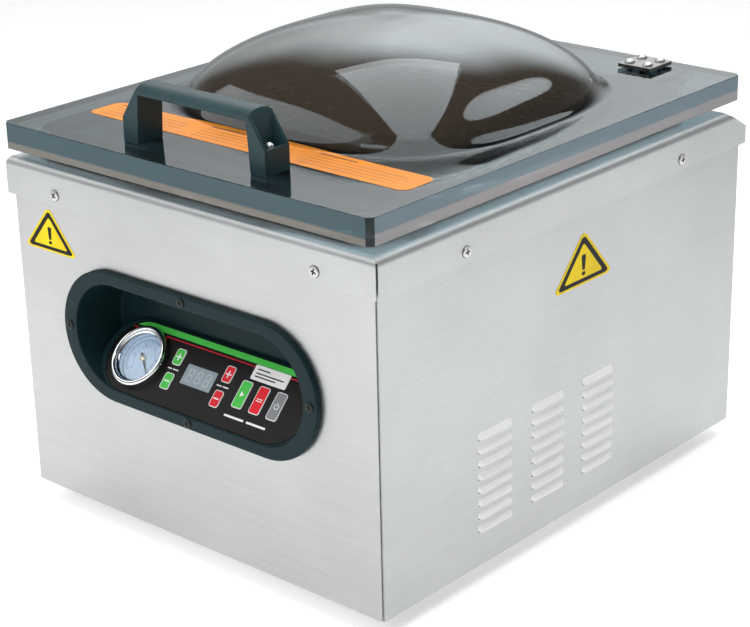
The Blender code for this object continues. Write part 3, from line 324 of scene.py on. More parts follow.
def loft(build, loops, caps=True, closed=False):
    """Skins equal-length loops of points."""
    rings = [[build.verts.new(point) for point in loop] for loop in loops]
    pairs = list(zip(rings, rings[1:]))
    if closed:
        pairs.append((rings[-1], rings[0]))
    count = len(rings[0])
    for lower, upper in pairs:
        for i in range(count):
            j = (i + 1) % count
            build.faces.new((lower[i], lower[j], upper[j], upper[i]))
    if caps and not closed:
        build.faces.new(rings[0][::-1])
        build.faces.new(rings[-1])


def prism(build, outline, start, end, place):
    """Extrudes a 2-D outline between two depths; place maps (a, b, depth) to a point."""
    loft(build, [[place(a, b, depth) for a, b in outline] for depth in (start, end)])


def soft_prism(build, outline_at, start, end, place, soften, steps=3):
    """A prism whose end edges are rounded; outline_at(inset) gives the outline drawn in by inset."""
    loops = [[place(a, b, start) for a, b in outline_at(0.0)]]
    for i in range(steps + 1):
        angle = math.pi / 2 * i / steps
        inset = soften * (1 - math.cos(angle))
        depth = end - math.copysign(soften * (1 - math.sin(angle)), end - start)
        loops.append([place(a, b, depth) for a, b in outline_at(inset)])
    loft(build, loops)


def lathe(build, profile, centre, axis, count=48, closed=False):
    """Turns (radius, height) points about an axis."""
    turn = Vector((0, 0, 1)).rotation_difference(Vector(axis)).to_matrix()
    loops = []
    for radius, height in profile:
        ring = []
        for i in range(count):
            angle = math.tau * i / count
            spot = Vector((radius * math.cos(angle), radius * math.sin(angle), height))
            ring.append(Vector(centre) + turn @ spot)
        loops.append(ring)
    loft(build, loops, closed=closed)


def smooth_mesh(mesh, angle):
    """Smooth shading with sharp edges where two faces meet at more than the angle."""
    build = bmesh.new()
    build.from_mesh(mesh)
    for edge in build.edges:
        edge.smooth = len(edge.link_faces) == 2 and edge.calc_face_angle(0.0) < math.radians(angle)
    for face in build.faces:
        face.smooth = True
    build.to_mesh(mesh)
    build.free()


def finish(name, build, body, look, replaced=(), slot=None, angle=35, bevel=0.0, segments=2, extra=()):
    """Turns a bmesh into a piece that rides on a body and may stand for CAD nodes."""
    bmesh.ops.remove_doubles(build, verts=build.verts, dist=1e-6)
    bmesh.ops.recalc_face_normals(build, faces=build.faces)
    mesh = bpy.data.meshes.new(name)
    build.to_mesh(mesh)
    build.free()
    for entry in (look, *extra):
        mesh.materials.append(LOOK[entry])
    piece = bpy.data.objects.new(name, mesh)
    SCENE.collection.objects.link(piece)
    smooth_mesh(mesh, angle)
    if bevel:
        soften = piece.modifiers.new("edges", "BEVEL")
        soften.width = bevel
        soften.segments = segments
        soften.limit_method = "ANGLE"
        soften.angle_limit = math.radians(40)
        soften.harden_normals = True
    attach(piece, body)
    if replaced:
        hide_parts(*replaced)
    return piece


def made_by(name, adder, body, look, replaced=(), **options):
    build = bmesh.new()
    adder(build)
    return finish(name, build, body, look, replaced, **options)


def refined(node, look, bevel, segments=2, body="cabinet", name=None, extra=()):
    """A copy of a CAD node with its facets merged and its edges rounded."""
    build = bmesh.new()
    build.from_mesh(NODES[node].data)
    bmesh.ops.remove_doubles(build, verts=build.verts, dist=1e-5)
    bmesh.ops.dissolve_limit(build, angle_limit=math.radians(0.6), verts=build.verts, edges=build.edges)
    return finish(name or node + "_finished", build, body, look, (node,), bevel=bevel, segments=segments,
                  extra=extra)


def stadium(half_length, radius, steps=24):
    points = []
    for side, start in ((1, -90), (-1, 90)):
        for i in range(steps + 1):
            angle = math.radians(start + 180 * i / steps)
            points.append((side * half_length + radius * math.cos(angle), radius * math.sin(angle)))
    return points


def rounded(x0, x1, y0, y1, radius, steps=6):
    points = []
    for x, y, start in ((x1, y1, 0), (x0, y1, 90), (x0, y0, 180), (x1, y0, 270)):
        middle_x = x - radius if x == x1 else x + radius
        middle_y = y - radius if y == y1 else y + radius
        for i in range(steps + 1):
            angle = math.radians(start + 90 * i / steps)
            points.append((middle_x + radius * math.cos(angle), middle_y + radius * math.sin(angle)))
    return points


def flat(a, b, depth):
    return Vector((a, b, depth))


def along_y(a, b, depth):
    return Vector((a, depth, b))


PANEL_UP = Vector((0.0, math.sin(TILT), math.cos(TILT)))
PANEL_OUT = Vector((0.0, -math.cos(TILT), math.sin(TILT)))


def on_panel(u, w, n):
    """Panel coordinates (right, up the slope, out of the face) to a point."""
    return PANEL_ORIGIN + Vector((u, 0.0, 0.0)) + PANEL_UP * w + PANEL_OUT * n


# ---------------------------------------------------------------- camera, floor and light

camera_data = bpy.data.cameras.new("camera")
camera_data.sensor_width = 36.0
camera_data.lens = 99.6
camera = bpy.data.objects.new("camera", camera_data)
SCENE.collection.objects.link(camera)
CAMERA_SPOT = Vector((1.0026, -1.1468, 0.7321))
CAMERA_AIM = Vector((-0.6187, 0.6941, -0.3681)).normalized()
CAMERA_ROLL = math.radians(-1.32)
aim = CAMERA_AIM.to_track_quat("-Z", "Y").to_matrix().to_4x4()
camera.matrix_world = Matrix.Translation(CAMERA_SPOT) @ aim @ Matrix.Rotation(CAMERA_ROLL, 4, "Z")
SCENE.camera = camera
SCENE.view_settings.view_transform = "Standard"


def panel_light(name, corners, radiance, colour=(1.0, 1.0, 1.0)):
    """A rectangular soft box with one corner pair at the start edge and one at the end edge."""
    start, end, width = corners
    start, end = Vector(start), Vector(end)
    length = (end - start).length
    data = bpy.data.lights.new(name, "AREA")
    data.shape = "RECTANGLE"
    data.size = width
    data.size_y = length
    data.color = colour
    data.energy = radiance * math.pi * width * length
    lamp = bpy.data.objects.new(name, data)
    SCENE.collection.objects.link(lamp)
    middle = (start + end) / 2
    along = (end - start).normalized()
    facing = (Vector((0, 0, 0.3)) - middle)
    facing = (facing - along * facing.dot(along)).normalized()
    across = along.cross(-facing)
    lamp.matrix_world = Matrix.Translation(middle) @ Matrix((across, along, -facing)).transposed().to_4x4()
    return lamp


panel_light("overhead_light", ((-0.66, 0.77, 1.51), (1.45, -0.95, 2.40), 1.05), 3.0)
panel_light("left_light", ((-2.3, -0.35, 1.50), (0.15, -1.95, 1.75), 0.95), 1.8)
right_light = panel_light("right_light", ((1.016, 0.818, 1.814), (0.284, 1.614, 1.46), 0.62), 2.2)
right_light.data.shape = "ELLIPSE"
fill_light = panel_light("fill_light", ((0.10, -2.55, 1.55), (1.10, -2.25, 1.55), 1.0), 7.0)
fill_light.visible_glossy = False


world = bpy.data.worlds.new("studio")
SCENE.world = world
world.use_nodes = True
SKY = world.node_tree
SKY_WAY = SKY.nodes.new("ShaderNodeTexCoord").outputs["Generated"]


def sky_ramp(value, low, high, start, end, smooth=False):
    """Carries start..end of a value over to low..high."""
    node = SKY.nodes.new("ShaderNodeMapRange")
    if smooth:
        node.interpolation_type = "SMOOTHSTEP"
    SKY.links.new(value, node.inputs["Value"])
    for socket, number in (("From Min", start), ("From Max", end), ("To Min", low), ("To Max", high)):
        node.inputs[socket].default_value = number
    return node


def sky_facing(way):
    """How far a direction of the sky agrees with the given one."""
    node = SKY.nodes.new("ShaderNodeVectorMath")
    node.operation = "DOT_PRODUCT"
    SKY.links.new(SKY_WAY, node.inputs[0])
    node.inputs[1].default_value = way
    return node.outputs["Value"]


def sky_math(operation, *values, clamp=False):
    node = SKY.nodes.new("ShaderNodeMath")
    node.operation = operation
    node.use_clamp = clamp
    for socket, value in zip(node.inputs, values):
        SKY.links.new(value, socket)
    return node.outputs[0]


# A soft glow behind the lid, which its gloss mirrors, on a dim surround that the camera sees as white.
GLOW_AZIMUTH = math.radians(127)
GLOW_WAY = Vector((math.cos(GLOW_AZIMUTH), math.sin(GLOW_AZIMUTH), 0.20)).normalized()
sky_height = SKY.nodes.new("ShaderNodeSeparateXYZ")
SKY.links.new(SKY_WAY, sky_height.inputs[0])
sky_z = sky_height.outputs["Z"]
glow = sky_ramp(sky_facing(GLOW_WAY), 0.0, 1.0, 0.74, 0.94, smooth=True)
band = sky_ramp(sky_z, 0.35, 0.10, 0.0, 0.45, smooth=True)
climb = sky_ramp(sky_z, 0.0, 3.4, 0.05, 0.60)
fade = sky_ramp(sky_facing((0.766, 0.643, 0.0)), 0.42, 1.0, -0.20, 0.10)
lift = sky_ramp(sky_z, 0.0, 0.25, 0.30, 0.55)
share = sky_math("ADD", fade.outputs["Result"], lift.outputs["Result"], clamp=True)
shaped = sky_math("MULTIPLY", glow.outputs["Result"], share)
total = sky_math("MULTIPLY_ADD", shaped, climb.outputs["Result"], band.outputs["Result"])
seen = sky_ramp(SKY.nodes.new("ShaderNodeLightPath").outputs["Is Camera Ray"], 0.0, 1.05, 0.0, 1.0)
SKY.links.new(total, seen.inputs["To Min"])
background = SKY.nodes["Background"]
SKY.links.new(seen.outputs["Result"], background.inputs["Strength"])
background.inputs["Color"].default_value = (0.97, 0.99, 1.0, 1.0)

floor_build = bmesh.new()
bmesh.ops.create_grid(floor_build, x_segments=2, y_segments=2, size=14.0)
floor_mesh = bpy.data.meshes.new("studio_floor")
floor_build.to_mesh(floor_mesh)
floor_build.free()
floor_shader = Shader("studio_floor", (0.86, 0.86, 0.86), 0.7, 0.0, Specular_IOR_Level=0.2,
                      Emission_Color=(1.0, 1.0, 1.0, 1.0), Emission_Strength=0.42)
distance = floor_shader.add("VectorMath", Vector=floor_shader.coordinates())
distance.operation = "DOT_PRODUCT"
distance.inputs[1].default_value = (-0.64, 0.77, 0.0)
floor_path = floor_shader.add("LightPath")
behind = floor_shader.ramp(distance.outputs["Value"], 0.0, 1.0, 0.25, 0.80)
dimmed = floor_shader.add("Math")
dimmed.operation = "MULTIPLY"
floor_shader.link(behind, dimmed.inputs[0])
floor_shader.link(floor_path.outputs["Is Glossy Ray"], dimmed.inputs[1])
backdrop = floor_shader.add("Emission", Color=(0.40, 0.42, 0.43, 1.0))
floor_mix = floor_shader.add("MixShader")
floor_shader.link(dimmed.outputs[0], floor_mix.inputs[0])
floor_shader.link(floor_shader.principled.outputs[0], floor_mix.inputs[1])
floor_shader.link(backdrop.outputs[0], floor_mix.inputs[2])
floor_shader.link(floor_mix.outputs[0], floor_shader.output.inputs["Surface"])
floor_mesh.materials.append(floor_shader.material)
floor = bpy.data.objects.new("studio_floor", floor_mesh)
SCENE.collection.objects.link(floor)
floor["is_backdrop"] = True

# ---------------------------------------------------------------- lid


def dome_ring(share, grow, height, count):
    """A superellipse ring: share of the dome's plan, grown outwards by grow."""
    points = []
    for i in range(count):
        angle = math.tau * (i + 0.5) / count
        cosine, sine = math.cos(angle), math.sin(angle)
        power = 2.0 / 3.0
        x = (DOME_HALF_X * share + grow) * math.copysign(abs(cosine) ** power, cosine)
        y = (DOME_HALF_Y * share + grow) * math.copysign(abs(sine) ** power, sine)
        points.append(DOME_CENTRE + Vector((x, y, height)))
    return points


def dome_profile(height, wall, foot_reach, foot_rise):
    """(share, grow, height) from crown to foot, ending in a fillet that runs out level."""
    rows = []
    last = 0.965
    steps = 26
    for i in range(1, steps + 1):
        share = last * math.sin(math.pi / 2 * i / steps) if i < steps else last
        rows.append((share, -wall * share, height * (1 - share ** 2) ** 0.6))
    _, _, z = rows[-1]
    inset = (1 - last) * DOME_HALF_X
    slope = height * 1.2 * last * (1 - last ** 2) ** -0.4 / DOME_HALF_X
    start = Vector((-inset, z))
    corner = Vector((-inset + (z + foot_rise) / slope, -foot_rise))
    end = Vector((foot_reach, -foot_rise))
    for i in range(1, 11):
        t = i / 10
        spot = start * (1 - t) ** 2 + corner * 2 * t * (1 - t) + end * t ** 2
        rows.append((1.0, spot.x - wall, spot.y))
    return rows


def slab_ring(inset, z, count, corner=0.0042):
    """The slab's outline in step with the dome's rings; each corner is cut at 45 degrees."""
    x0, x1 = LID_LOW.x + inset, LID_HIGH.x - inset
    y0, y1 = LID_LOW.y + inset, LID_HIGH.y - inset
    corners = [Vector((x1, y1)), Vector((x0, y1)), Vector((x0, y0)), Vector((x1, y0))]
    quarter = count // 4
    half = quarter // 2
    points = []
    for k in range(4):
        before, here, after = corners[k - 1], corners[k], corners[(k + 1) % 4]
        entry = here + (before - here).normalized() * corner
        leave = here + (after - here).normalized() * corner
        middle_in, middle_out = (before + here) / 2, (here + after) / 2
        for i in range(half):
            points.append(middle_in.lerp(entry, (i + 0.5) / (half - 0.5)))
        for i in range(half):
            points.append(leave.lerp(middle_out, i / (half - 0.5)))
    return [Vector((p.x, p.y, z)) for p in points]


def add_lid(build):
    count = 160
    outer = [dome_ring(s, g, z, count) for s, g, z in dome_profile(DOME_HEIGHT, 0.0, 0.0095, 0.0)]
    hollow = dome_profile(DOME_HEIGHT - DOME_WALL, DOME_WALL, -0.0004, 0.004)
    inner = [dome_ring(s, g, z, count) for s, g, z in hollow]
    edge = 0.0004
    slab = [slab_ring(edge, SLAB_TOP, count), slab_ring(edge * 0.3, SLAB_TOP - edge * 0.3, count),
            slab_ring(0, SLAB_TOP - edge, count), slab_ring(0, SLAB_BOTTOM + edge, count),
            slab_ring(edge * 0.3, SLAB_BOTTOM + edge * 0.3, count), slab_ring(edge, SLAB_BOTTOM, count)]
    flare = []
    thickness = SLAB_TOP - SLAB_BOTTOM
    for i in range(7):
        angle = math.pi / 2 * i / 6
        radius = 0.006
        flare.append(dome_ring(1.0, -DOME_WALL - 0.0006 + radius * (1 - math.sin(angle)),
                               -thickness + radius * (1 - math.cos(angle)), count))
    loft(build, [*outer, *slab, *flare, *reversed(inner)])


lid_piece = made_by("lid_shell", add_lid, "lid_assembly", "acrylic", ("lid",), slot="smoked_acrylic",
                    angle=28, extra=("dome", "edge", "side_edge"))
DOME_LOOK, EDGE_LOOK, SIDE_EDGE_LOOK = 1, 2, 3
# End faces of the slab get the darker edge tone (painted shade) and side faces the lighter one (painted
# light); the dome's inner faces get the browner tint, partly painted shade of the chamber.
for polygon in lid_piece.data.polygons:
    spot, normal = polygon.center, polygon.normal
    square_on = max(abs(normal.x), abs(normal.y)) > 0.98
    at_side = abs(spot.x) > LID_HIGH.x - 0.001
    at_end = not LID_LOW.y + 0.001 < spot.y < LID_HIGH.y - 0.001
    if square_on and spot.z < SLAB_TOP - 0.0005 and (at_side or at_end):
        polygon.material_index = SIDE_EDGE_LOOK if abs(normal.x) > 0.98 else EDGE_LOOK
    across = abs(spot.x / (DOME_HALF_X - 0.001))
    along = abs((spot.y - DOME_CENTRE.y) / (DOME_HALF_Y - 0.001))
    facing_in = normal.dot(spot - (DOME_CENTRE - Vector((0, 0, 0.10)))) < 0
    if across ** 3 + along ** 3 < 1.0 and facing_in and spot.z > SLAB_BOTTOM + 0.008:
        polygon.material_index = DOME_LOOK

# ---------------------------------------------------------------- labels on the lid and the cabinet


def add_guide(build):
    outline = rounded(-0.149, 0.162, -0.1718, -0.1380, 0.008)
    prism(build, outline, SLAB_TOP + 0.00005, SLAB_TOP + 0.00025, flat)


made_by("quick_guide_label", add_guide, "lid_assembly", "orange")


def add_guide_lines(build):
    """Faint rows of small bars where a guide would be printed."""
    low, high = SLAB_TOP + 0.0002, SLAB_TOP + 0.0003
    for left, right in ((-0.140, -0.060), (-0.045, 0.045), (0.062, 0.150)):
        for row in range(4):
            y = -0.1655 + row * 0.0052
            reach = right - (0.012 if row == 0 else 0.004 * (row % 2))
            bars = rounded(left, reach, y, y + 0.0007, 0.0002, 1)
            prism(build, bars, low, high, flat)
        title = rounded(left, left + 0.034, -0.1448, -0.1424, 0.0004, 1)
        prism(build, title, low, high, flat)


made_by("guide_print", add_guide_lines, "lid_assembly", "brown_print")


def triangle(size, inset, radius, steps=5):
    """An upright triangle with round corners, centred on its own middle; size is its outer width."""
    inner = size / math.sqrt(12) - inset - radius
    points = []
    for k in range(3):
        middle = math.radians(90 + 120 * k)
        centre = Vector((math.cos(middle), math.sin(middle))) * (2 * inner)
        for i in range(steps + 1):
            angle = middle - math.radians(60) + math.radians(120) * i / steps
            points.append((centre.x + radius * math.cos(angle), centre.y + radius * math.sin(angle)))
    return points


def caution_label(name, size, place, stretch):
    """A generic caution triangle: yellow ground, black frame, black bar and dot."""
    def scaled(outline):
        return [(a, b * stretch) for a, b in outline]

    def ground(build):
        prism(build, scaled(triangle(size, 0.0, size * 0.055)), 0.00005, 0.00020, place)

    def ring(build):
        outer = scaled(triangle(size, size * 0.035, size * 0.040))
        inner = scaled(triangle(size, size * 0.100, size * 0.022))
        loops = [[place(a, b, depth) for a, b in outline]
                 for outline, depth in ((outer, 0.00015), (outer, 0.00028),
                                        (inner, 0.00028), (inner, 0.00015))]
        loft(build, loops, closed=True)

    def mark(build):
        base = -size * 0.14
        right = [(0.022, 0.085), (0.036, 0.300), (0.030, 0.325)]
        bar = [(size * a, base + size * b) for a, b in right + [(-a, b) for a, b in reversed(right)]]
        turns = [math.tau * i / 16 for i in range(16)]
        dot = [(size * 0.032 * math.cos(t), base + size * 0.026 + size * 0.032 * math.sin(t)) for t in turns]
        for outline in (bar, dot):
            prism(build, scaled(outline), 0.00015, 0.00028, place)

    made_by(name, ground, "cabinet", "yellow")
    made_by(name + "_frame", ring, "cabinet", "dark_print_and_shade")
    made_by(name + "_mark", mark, "cabinet", "dark_print_and_shade")


def on_front(a, b, n):
    return Vector((-0.1424 + a, FRONT_Y - n, 0.2242 + b))


def on_right_side(a, b, n):
    return Vector((HALF_WIDTH + n, 0.0036 + a, 0.2086 + b))


caution_label("front_caution_label", 0.0580, on_front, 0.70)
caution_label("side_caution_label", 0.0725, on_right_side, 0.66)

# ---------------------------------------------------------------- control housing


def add_housing(build):
    """Flange, recess wall and back in one moulding, walked from the inner back to the outer back."""
    soft, wall, corner = 0.0010, 0.0025, 0.004
    half, radius = RECESS_HALF, RECESS_RADIUS
    rows = [(half, radius - corner, RECESS_BACK), (half, radius - corner * 0.3, RECESS_BACK - corner * 0.3),
            (half, radius, RECESS_BACK - corner), (half, radius, BEZEL_FACE + soft)]
    quarter = [(1 - math.cos(angle), 1 - math.sin(angle)) for angle in (math.pi / 6 * i for i in range(4))]
    rows += [(half, radius + soft * a, BEZEL_FACE + soft * b) for a, b in quarter[1:]]
    rows += [(FLANGE_HALF, FLANGE_RADIUS - soft * b, BEZEL_FACE + soft * a) for a, b in quarter]
    rows += [(FLANGE_HALF, FLANGE_RADIUS, FRONT_Y - GAP), (half, radius + wall, FRONT_Y - GAP),
             (half, radius + wall, RECESS_BACK + wall)]
    loft(build, [[along_y(x, BEZEL_Z + z, y) for x, z in stadium(reach, drawn, 32)]
                 for reach, drawn, y in rows])


def add_plateau(build):
    """The sloping plateau: a rim on the tilted plane round a shallow pocket, run back to the recess wall."""
    half, radius = 0.0765, 0.0302
    outline = stadium(half, radius, 32)
    rear = [Vector((u, RECESS_BACK + 0.001, on_panel(u, PANEL_MIDDLE + w, 0).z)) for u, w in outline]

    def at(reach, drawn_in, n):
        return [on_panel(u, PANEL_MIDDLE + w, n) for u, w in stadium(reach, drawn_in, 32)]

    soft = 0.0009
    pocket = PANEL_RADIUS + GAP
    loft(build, [rear, at(half, radius, -soft), at(half, radius - soft * 0.3, -soft * 0.3),
                 at(half, radius - soft, 0), at(PANEL_HALF_LENGTH, pocket + 0.0002, 0),
                 at(PANEL_HALF_LENGTH, pocket, -0.0003), at(PANEL_HALF_LENGTH, pocket, -0.0031)])


made_by("control_housing", add_housing, "cabinet", "teal", ("control_bezel",), slot="dark_teal_plastic",
        angle=40)
made_by("control_plateau", add_plateau, "cabinet", "teal", slot="dark_teal_plastic", angle=40)


def add_overlay(build):
    def outline(inset):
        return [(u, PANEL_MIDDLE + w) for u, w in stadium(PANEL_HALF_LENGTH, PANEL_RADIUS - inset, 32)]
    soft_prism(build, outline, -0.003, 0.0, on_panel, 0.0002, 2)


overlay_piece = made_by("control_overlay", add_overlay, "cabinet", "overlay", ("control_panel",),
                        slot="black_plastic")


def clipped(low, high, inset):
    """The part of the panel's oblong between two heights, as an outline."""
    radius = PANEL_RADIUS - inset
    low, high = low - PANEL_MIDDLE, min(high - PANEL_MIDDLE, radius * 0.9999)
    right = []
    for i in range(13):
        w = low + (high - low) * i / 12
        right.append((PANEL_HALF_LENGTH + math.sqrt(radius * radius - w * w), PANEL_MIDDLE + w))
    return right + [(-u, w) for u, w in reversed(right)]


PRINT_LOW, PRINT_HIGH = -0.0001, 0.00008


def print_on_panel(name, look, outlines, body="cabinet", low=PRINT_LOW, high=PRINT_HIGH):
    def adder(build):
        for outline in outlines:
            prism(build, outline, low, high, on_panel)
    return made_by(name, adder, body, look)


print_on_panel("panel_green_band", "green", [clipped(0.0531, 0.0577, 0.0006)])
print_on_panel("panel_red_line", "red_print", [clipped(0.0504, 0.0512, 0.0006)])
print_on_panel("panel_badge", "white_print", [rounded(0.0363, 0.0703, 0.0413, 0.0528, 0.0012)], high=0.00020)
badge_lines = [rounded(0.0395, 0.0395 + length, w, w + 0.0009, 0.0003, 1)
               for length, w in ((0.012, 0.0493), (0.027, 0.0462), (0.020, 0.0438))]
print_on_panel("panel_badge_lines", "dark_print_and_shade", badge_lines, high=0.00028)


def dashes(u, w, lengths, height, gap):
    """A row of small bars that stands in for a printed caption."""
    made = []
    for length in lengths:
        made.append(rounded(u, u + length, w - height / 2, w + height / 2, height * 0.2, 1))
        u += length + gap
    return made


captions = dashes(0.0302, 0.0106, (0.019, 0.0185), 0.0016, 0.0028)
captions += dashes(-0.0395, 0.0293, (0.0040, 0.0055), 0.0009, 0.0012)
captions += dashes(0.0110, 0.0291, (0.0050, 0.0055), 0.0009, 0.0012)
print_on_panel("panel_captions", "white_print", captions)

# ---------------------------------------------------------------- keys and display


def bar(u, w, width, height):
    return [(u - width / 2, w - height / 2), (u + width / 2, w - height / 2),
            (u + width / 2, w + height / 2), (u - width / 2, w + height / 2)]


def plus(u, w, arm, half):
    """A cross with arms of one length."""
    quarter = [(arm, -half), (arm, half), (half, half)]
    points = []
    for _ in range(4):
        points += quarter
        quarter = [(-b, a) for a, b in quarter]
    return [(u + a, w + b) for a, b in points]


def arc(u, w, radius, half, start, sweep, steps=18):
    """A curved stroke as a closed outline."""
    angles = [math.radians(start + sweep * i / steps) for i in range(steps + 1)]
    outer = [(u + (radius + half) * math.cos(a), w + (radius + half) * math.sin(a)) for a in angles]
    inner = [(u + (radius - half) * math.cos(a), w + (radius - half) * math.sin(a)) for a in reversed(angles)]
    return outer + inner


SMALL, TALL = (0.0088, 0.0131), (0.0101, 0.0215)
KEYS = (
    ("key_vacuum_plus", -0.0341, 0.0392, SMALL, "green", [plus(-0.0341, 0.0392, 0.0028, 0.0005)]),
    ("key_vacuum_minus", -0.0341, 0.0195, SMALL, "green", [bar(-0.0341, 0.0195, 0.0052, 0.0010)]),
    ("key_seal_plus", 0.0170, 0.0390, SMALL, "red", [plus(0.0170, 0.0390, 0.0028, 0.0005)]),
    ("key_seal_minus", 0.0170, 0.0193, SMALL, "red", [bar(0.0170, 0.0193, 0.0052, 0.0010)]),
    ("key_start", 0.0371, 0.0284, TALL, "green", [[(0.0357, 0.0262), (0.0391, 0.0284), (0.0357, 0.0306)]]),
    ("key_seal", 0.0540, 0.0284, TALL, "red",
     [bar(0.0540, 0.0292, 0.0056, 0.0006), bar(0.0540, 0.0276, 0.0056, 0.0006)]),
    ("key_power", 0.0709, 0.0284, TALL, "grey",
     [arc(0.0709, 0.0282, 0.0020, 0.0003, 125, 290), bar(0.0709, 0.0300, 0.0006, 0.0026)]),
)


def tile(u, w, size, inset, corner=0.0020):
    half_width, half_height = size[0] / 2 - inset, size[1] / 2 - inset
    return rounded(u - half_width, u + half_width, w - half_height, w + half_height, corner - inset, 5)


for name, u, w, size, look, icons in KEYS:
    body = name + "_cap"

    def cap(build, u=u, w=w, size=size):
        soft_prism(build, lambda inset: tile(u, w, size, inset), -0.0023, 0.0004, on_panel, 0.00015, 2)

    made_by(name + "_cap", cap, body, "white_print", (name,), slot=look + "_key")
    print_on_panel(name + "_face", look, [tile(u, w, size, 0.0006)], body, 0.0003, 0.00048)
    print_on_panel(name + "_icon", "white_print", icons, body, 0.0004, 0.00054)

DISPLAY = (-0.0075, 0.0292)
made_by("display_screen", lambda build: prism(
    build, tile(*DISPLAY, (0.0300, 0.0158), 0.0, 0.0005), -0.003, 0.00005, on_panel), "cabinet", "display",
    ("display_window",), slot="display_grey")


def digit(u, w, height, lean=0.10):
    """Seven separate strokes of a figure eight, leaning a little."""
    wide, thick, space = height * 0.50, height * 0.10, height * 0.03
    strokes = []

    def stroke(a0, b0, a1, b1):
        strokes.append([(u + a + lean * b, w + b) for a, b in ((a0, b0), (a1, b0), (a1, b1), (a0, b1))])

    for level in (-1, 0, 1):
        middle = level * (height - thick) / 2
        stroke(-wide / 2 + thick + space, middle - thick / 2, wide / 2 - thick - space, middle + thick / 2)
    for side in (-1, 1):
        for low, high in ((-height / 2 + thick / 2, -space), (space, height / 2 - thick / 2)):
            a0, a1 = sorted((side * wide / 2, side * (wide / 2 - thick)))
            stroke(a0, low, a1, high)
    return strokes


strokes = [s for k in (-1, 0, 1) for s in digit(DISPLAY[0] + k * 0.0085, DISPLAY[1], 0.0105)]
print_on_panel("display_digits", "segment", strokes, low=0.0, high=0.00012)

# ---------------------------------------------------------------- vacuum gauge

GAUGE_CENTRE = on_panel(GAUGE_U, PANEL_MIDDLE, 0)


def on_gauge(a, b, n):
    return on_panel(GAUGE_U + a, PANEL_MIDDLE + b, n)


def add_ring(build):
    profile = [(0.0200, -0.0058), (0.0200, GAP), (0.0242, GAP)]
    middle_r, middle_h, radius = 0.0223, 0.0048, 0.0019
    for i in range(11):
        angle = math.radians(-10 + 200 * i / 10)
        profile.append((middle_r + radius * math.cos(angle), middle_h + radius * math.sin(angle)))
    profile += [(0.0200, 0.0036), (0.0190, 0.0030), (0.0190, -0.0043)]
    lathe(build, profile, GAUGE_CENTRE, PANEL_OUT, 72)


def on_dial_axis(profile, count=64):
    """An adder that turns a profile about the gauge's axis."""
    return lambda build: lathe(build, profile, GAUGE_CENTRE, PANEL_OUT, count)


made_by("gauge_ring", add_ring, "cabinet", "chrome", ("gauge_case",), slot="chrome", angle=50)
made_by("gauge_face", on_dial_axis([(DIAL_RADIUS, -0.0040), (DIAL_RADIUS, -0.0030)]),
        "cabinet", "dial", ("gauge_dial",), slot="pale_blue_dial")
glass = [(DIAL_RADIUS, 0.0016), (DIAL_RADIUS, 0.0026), (0.0120, 0.0029), (0.0010, 0.0030)]
made_by("gauge_glass", on_dial_axis(glass), "cabinet", "lens", ("gauge_lens",), slot="clear_lens")

DIAL_START, DIAL_SWEEP = 225, 270
INK_LOW, INK_HIGH = -0.0031, -0.0029


def add_scale(build):
    """Ticks over three quarters of a turn and two thin arcs."""
    for i in range(51):
        angle = math.radians(DIAL_START - DIAL_SWEEP * i / 50)
        way = Vector((math.cos(angle), math.sin(angle)))
        start, half = (0.0132, 0.00016) if i % 5 == 0 else (0.0143, 0.00009)
        side = Vector((-way.y, way.x)) * half
        corners = [way * start - side, way * 0.0158 - side, way * 0.0158 + side, way * start + side]
        prism(build, [(c.x, c.y) for c in corners], INK_LOW, INK_HIGH, on_gauge)
    for radius, half in ((0.0159, 0.00012), (0.0098, 0.00008)):
        prism(build, arc(0, 0, radius, half, -45, DIAL_SWEEP, 60), INK_LOW, INK_HIGH, on_gauge)


made_by("gauge_scale", add_scale, "cabinet", "blue_print")


LIT = {"0": "abcdef", "1": "bc", "2": "abged", "4": "fgbc", "6": "afgedc", "8": "abcdefg"}


def figures(text, a, b, height):
    """A generic number as thin strokes on the dial."""
    wide, thick = height * 0.55, height * 0.13
    a -= (len(text) - 1) * height * 0.38
    shapes = []
    for letter in text:
        x0, x1, h = a - wide / 2, a + wide / 2, height / 2
        strokes = {"a": (x0, h - thick, x1, h), "g": (x0, -thick / 2, x1, thick / 2),
                   "d": (x0, -h, x1, -h + thick), "f": (x0, 0, x0 + thick, h),
                   "b": (x1 - thick, 0, x1, h), "e": (x0, -h, x0 + thick, 0),
                   "c": (x1 - thick, -h, x1, 0)}
        for key in LIT[letter]:
            p0, q0, p1, q1 = strokes[key]
            shapes.append([(p0, b + q0), (p1, b + q0), (p1, b + q1), (p0, b + q1)])
        a += height * 0.76
    return shapes


def add_figures(build):
    texts = ("0", "2", "4", "6", "8", "10")
    for i, text in enumerate(texts):
        angle = math.radians(DIAL_START - DIAL_SWEEP * i / (len(texts) - 1))
        for shape in figures(text, 0.0116 * math.cos(angle), 0.0116 * math.sin(angle), 0.0021):
            prism(build, shape, INK_LOW, INK_HIGH, on_gauge)


made_by("gauge_figures", add_figures, "cabinet", "blue_print")

NEEDLE_ANGLE = math.radians(-45)


def add_needle(build):
    edge = [(-0.0050, 0.0009), (-0.0030, 0.0006), (0.0040, 0.00045), (0.0140, 0.00016)]
    outline = [(a, -b) for a, b in edge] + edge[::-1]
    turn = Matrix.Rotation(NEEDLE_ANGLE, 2)
    turned = [turn @ Vector(point) for point in outline]
    prism(build, [(p.x, p.y) for p in turned], -0.0016, -0.0010, on_gauge)


made_by("needle_pointer", add_needle, "needle", "dark_print_and_shade", ("gauge_needle",), slot="black_plastic")
hub = [(0.0021, -0.0026), (0.0021, -0.0004), (0.0017, 0.0001), (0.0008, 0.0004)]
made_by("needle_hub", on_dial_axis(hub, 32), "needle", "brass")

# ---------------------------------------------------------------- fasteners


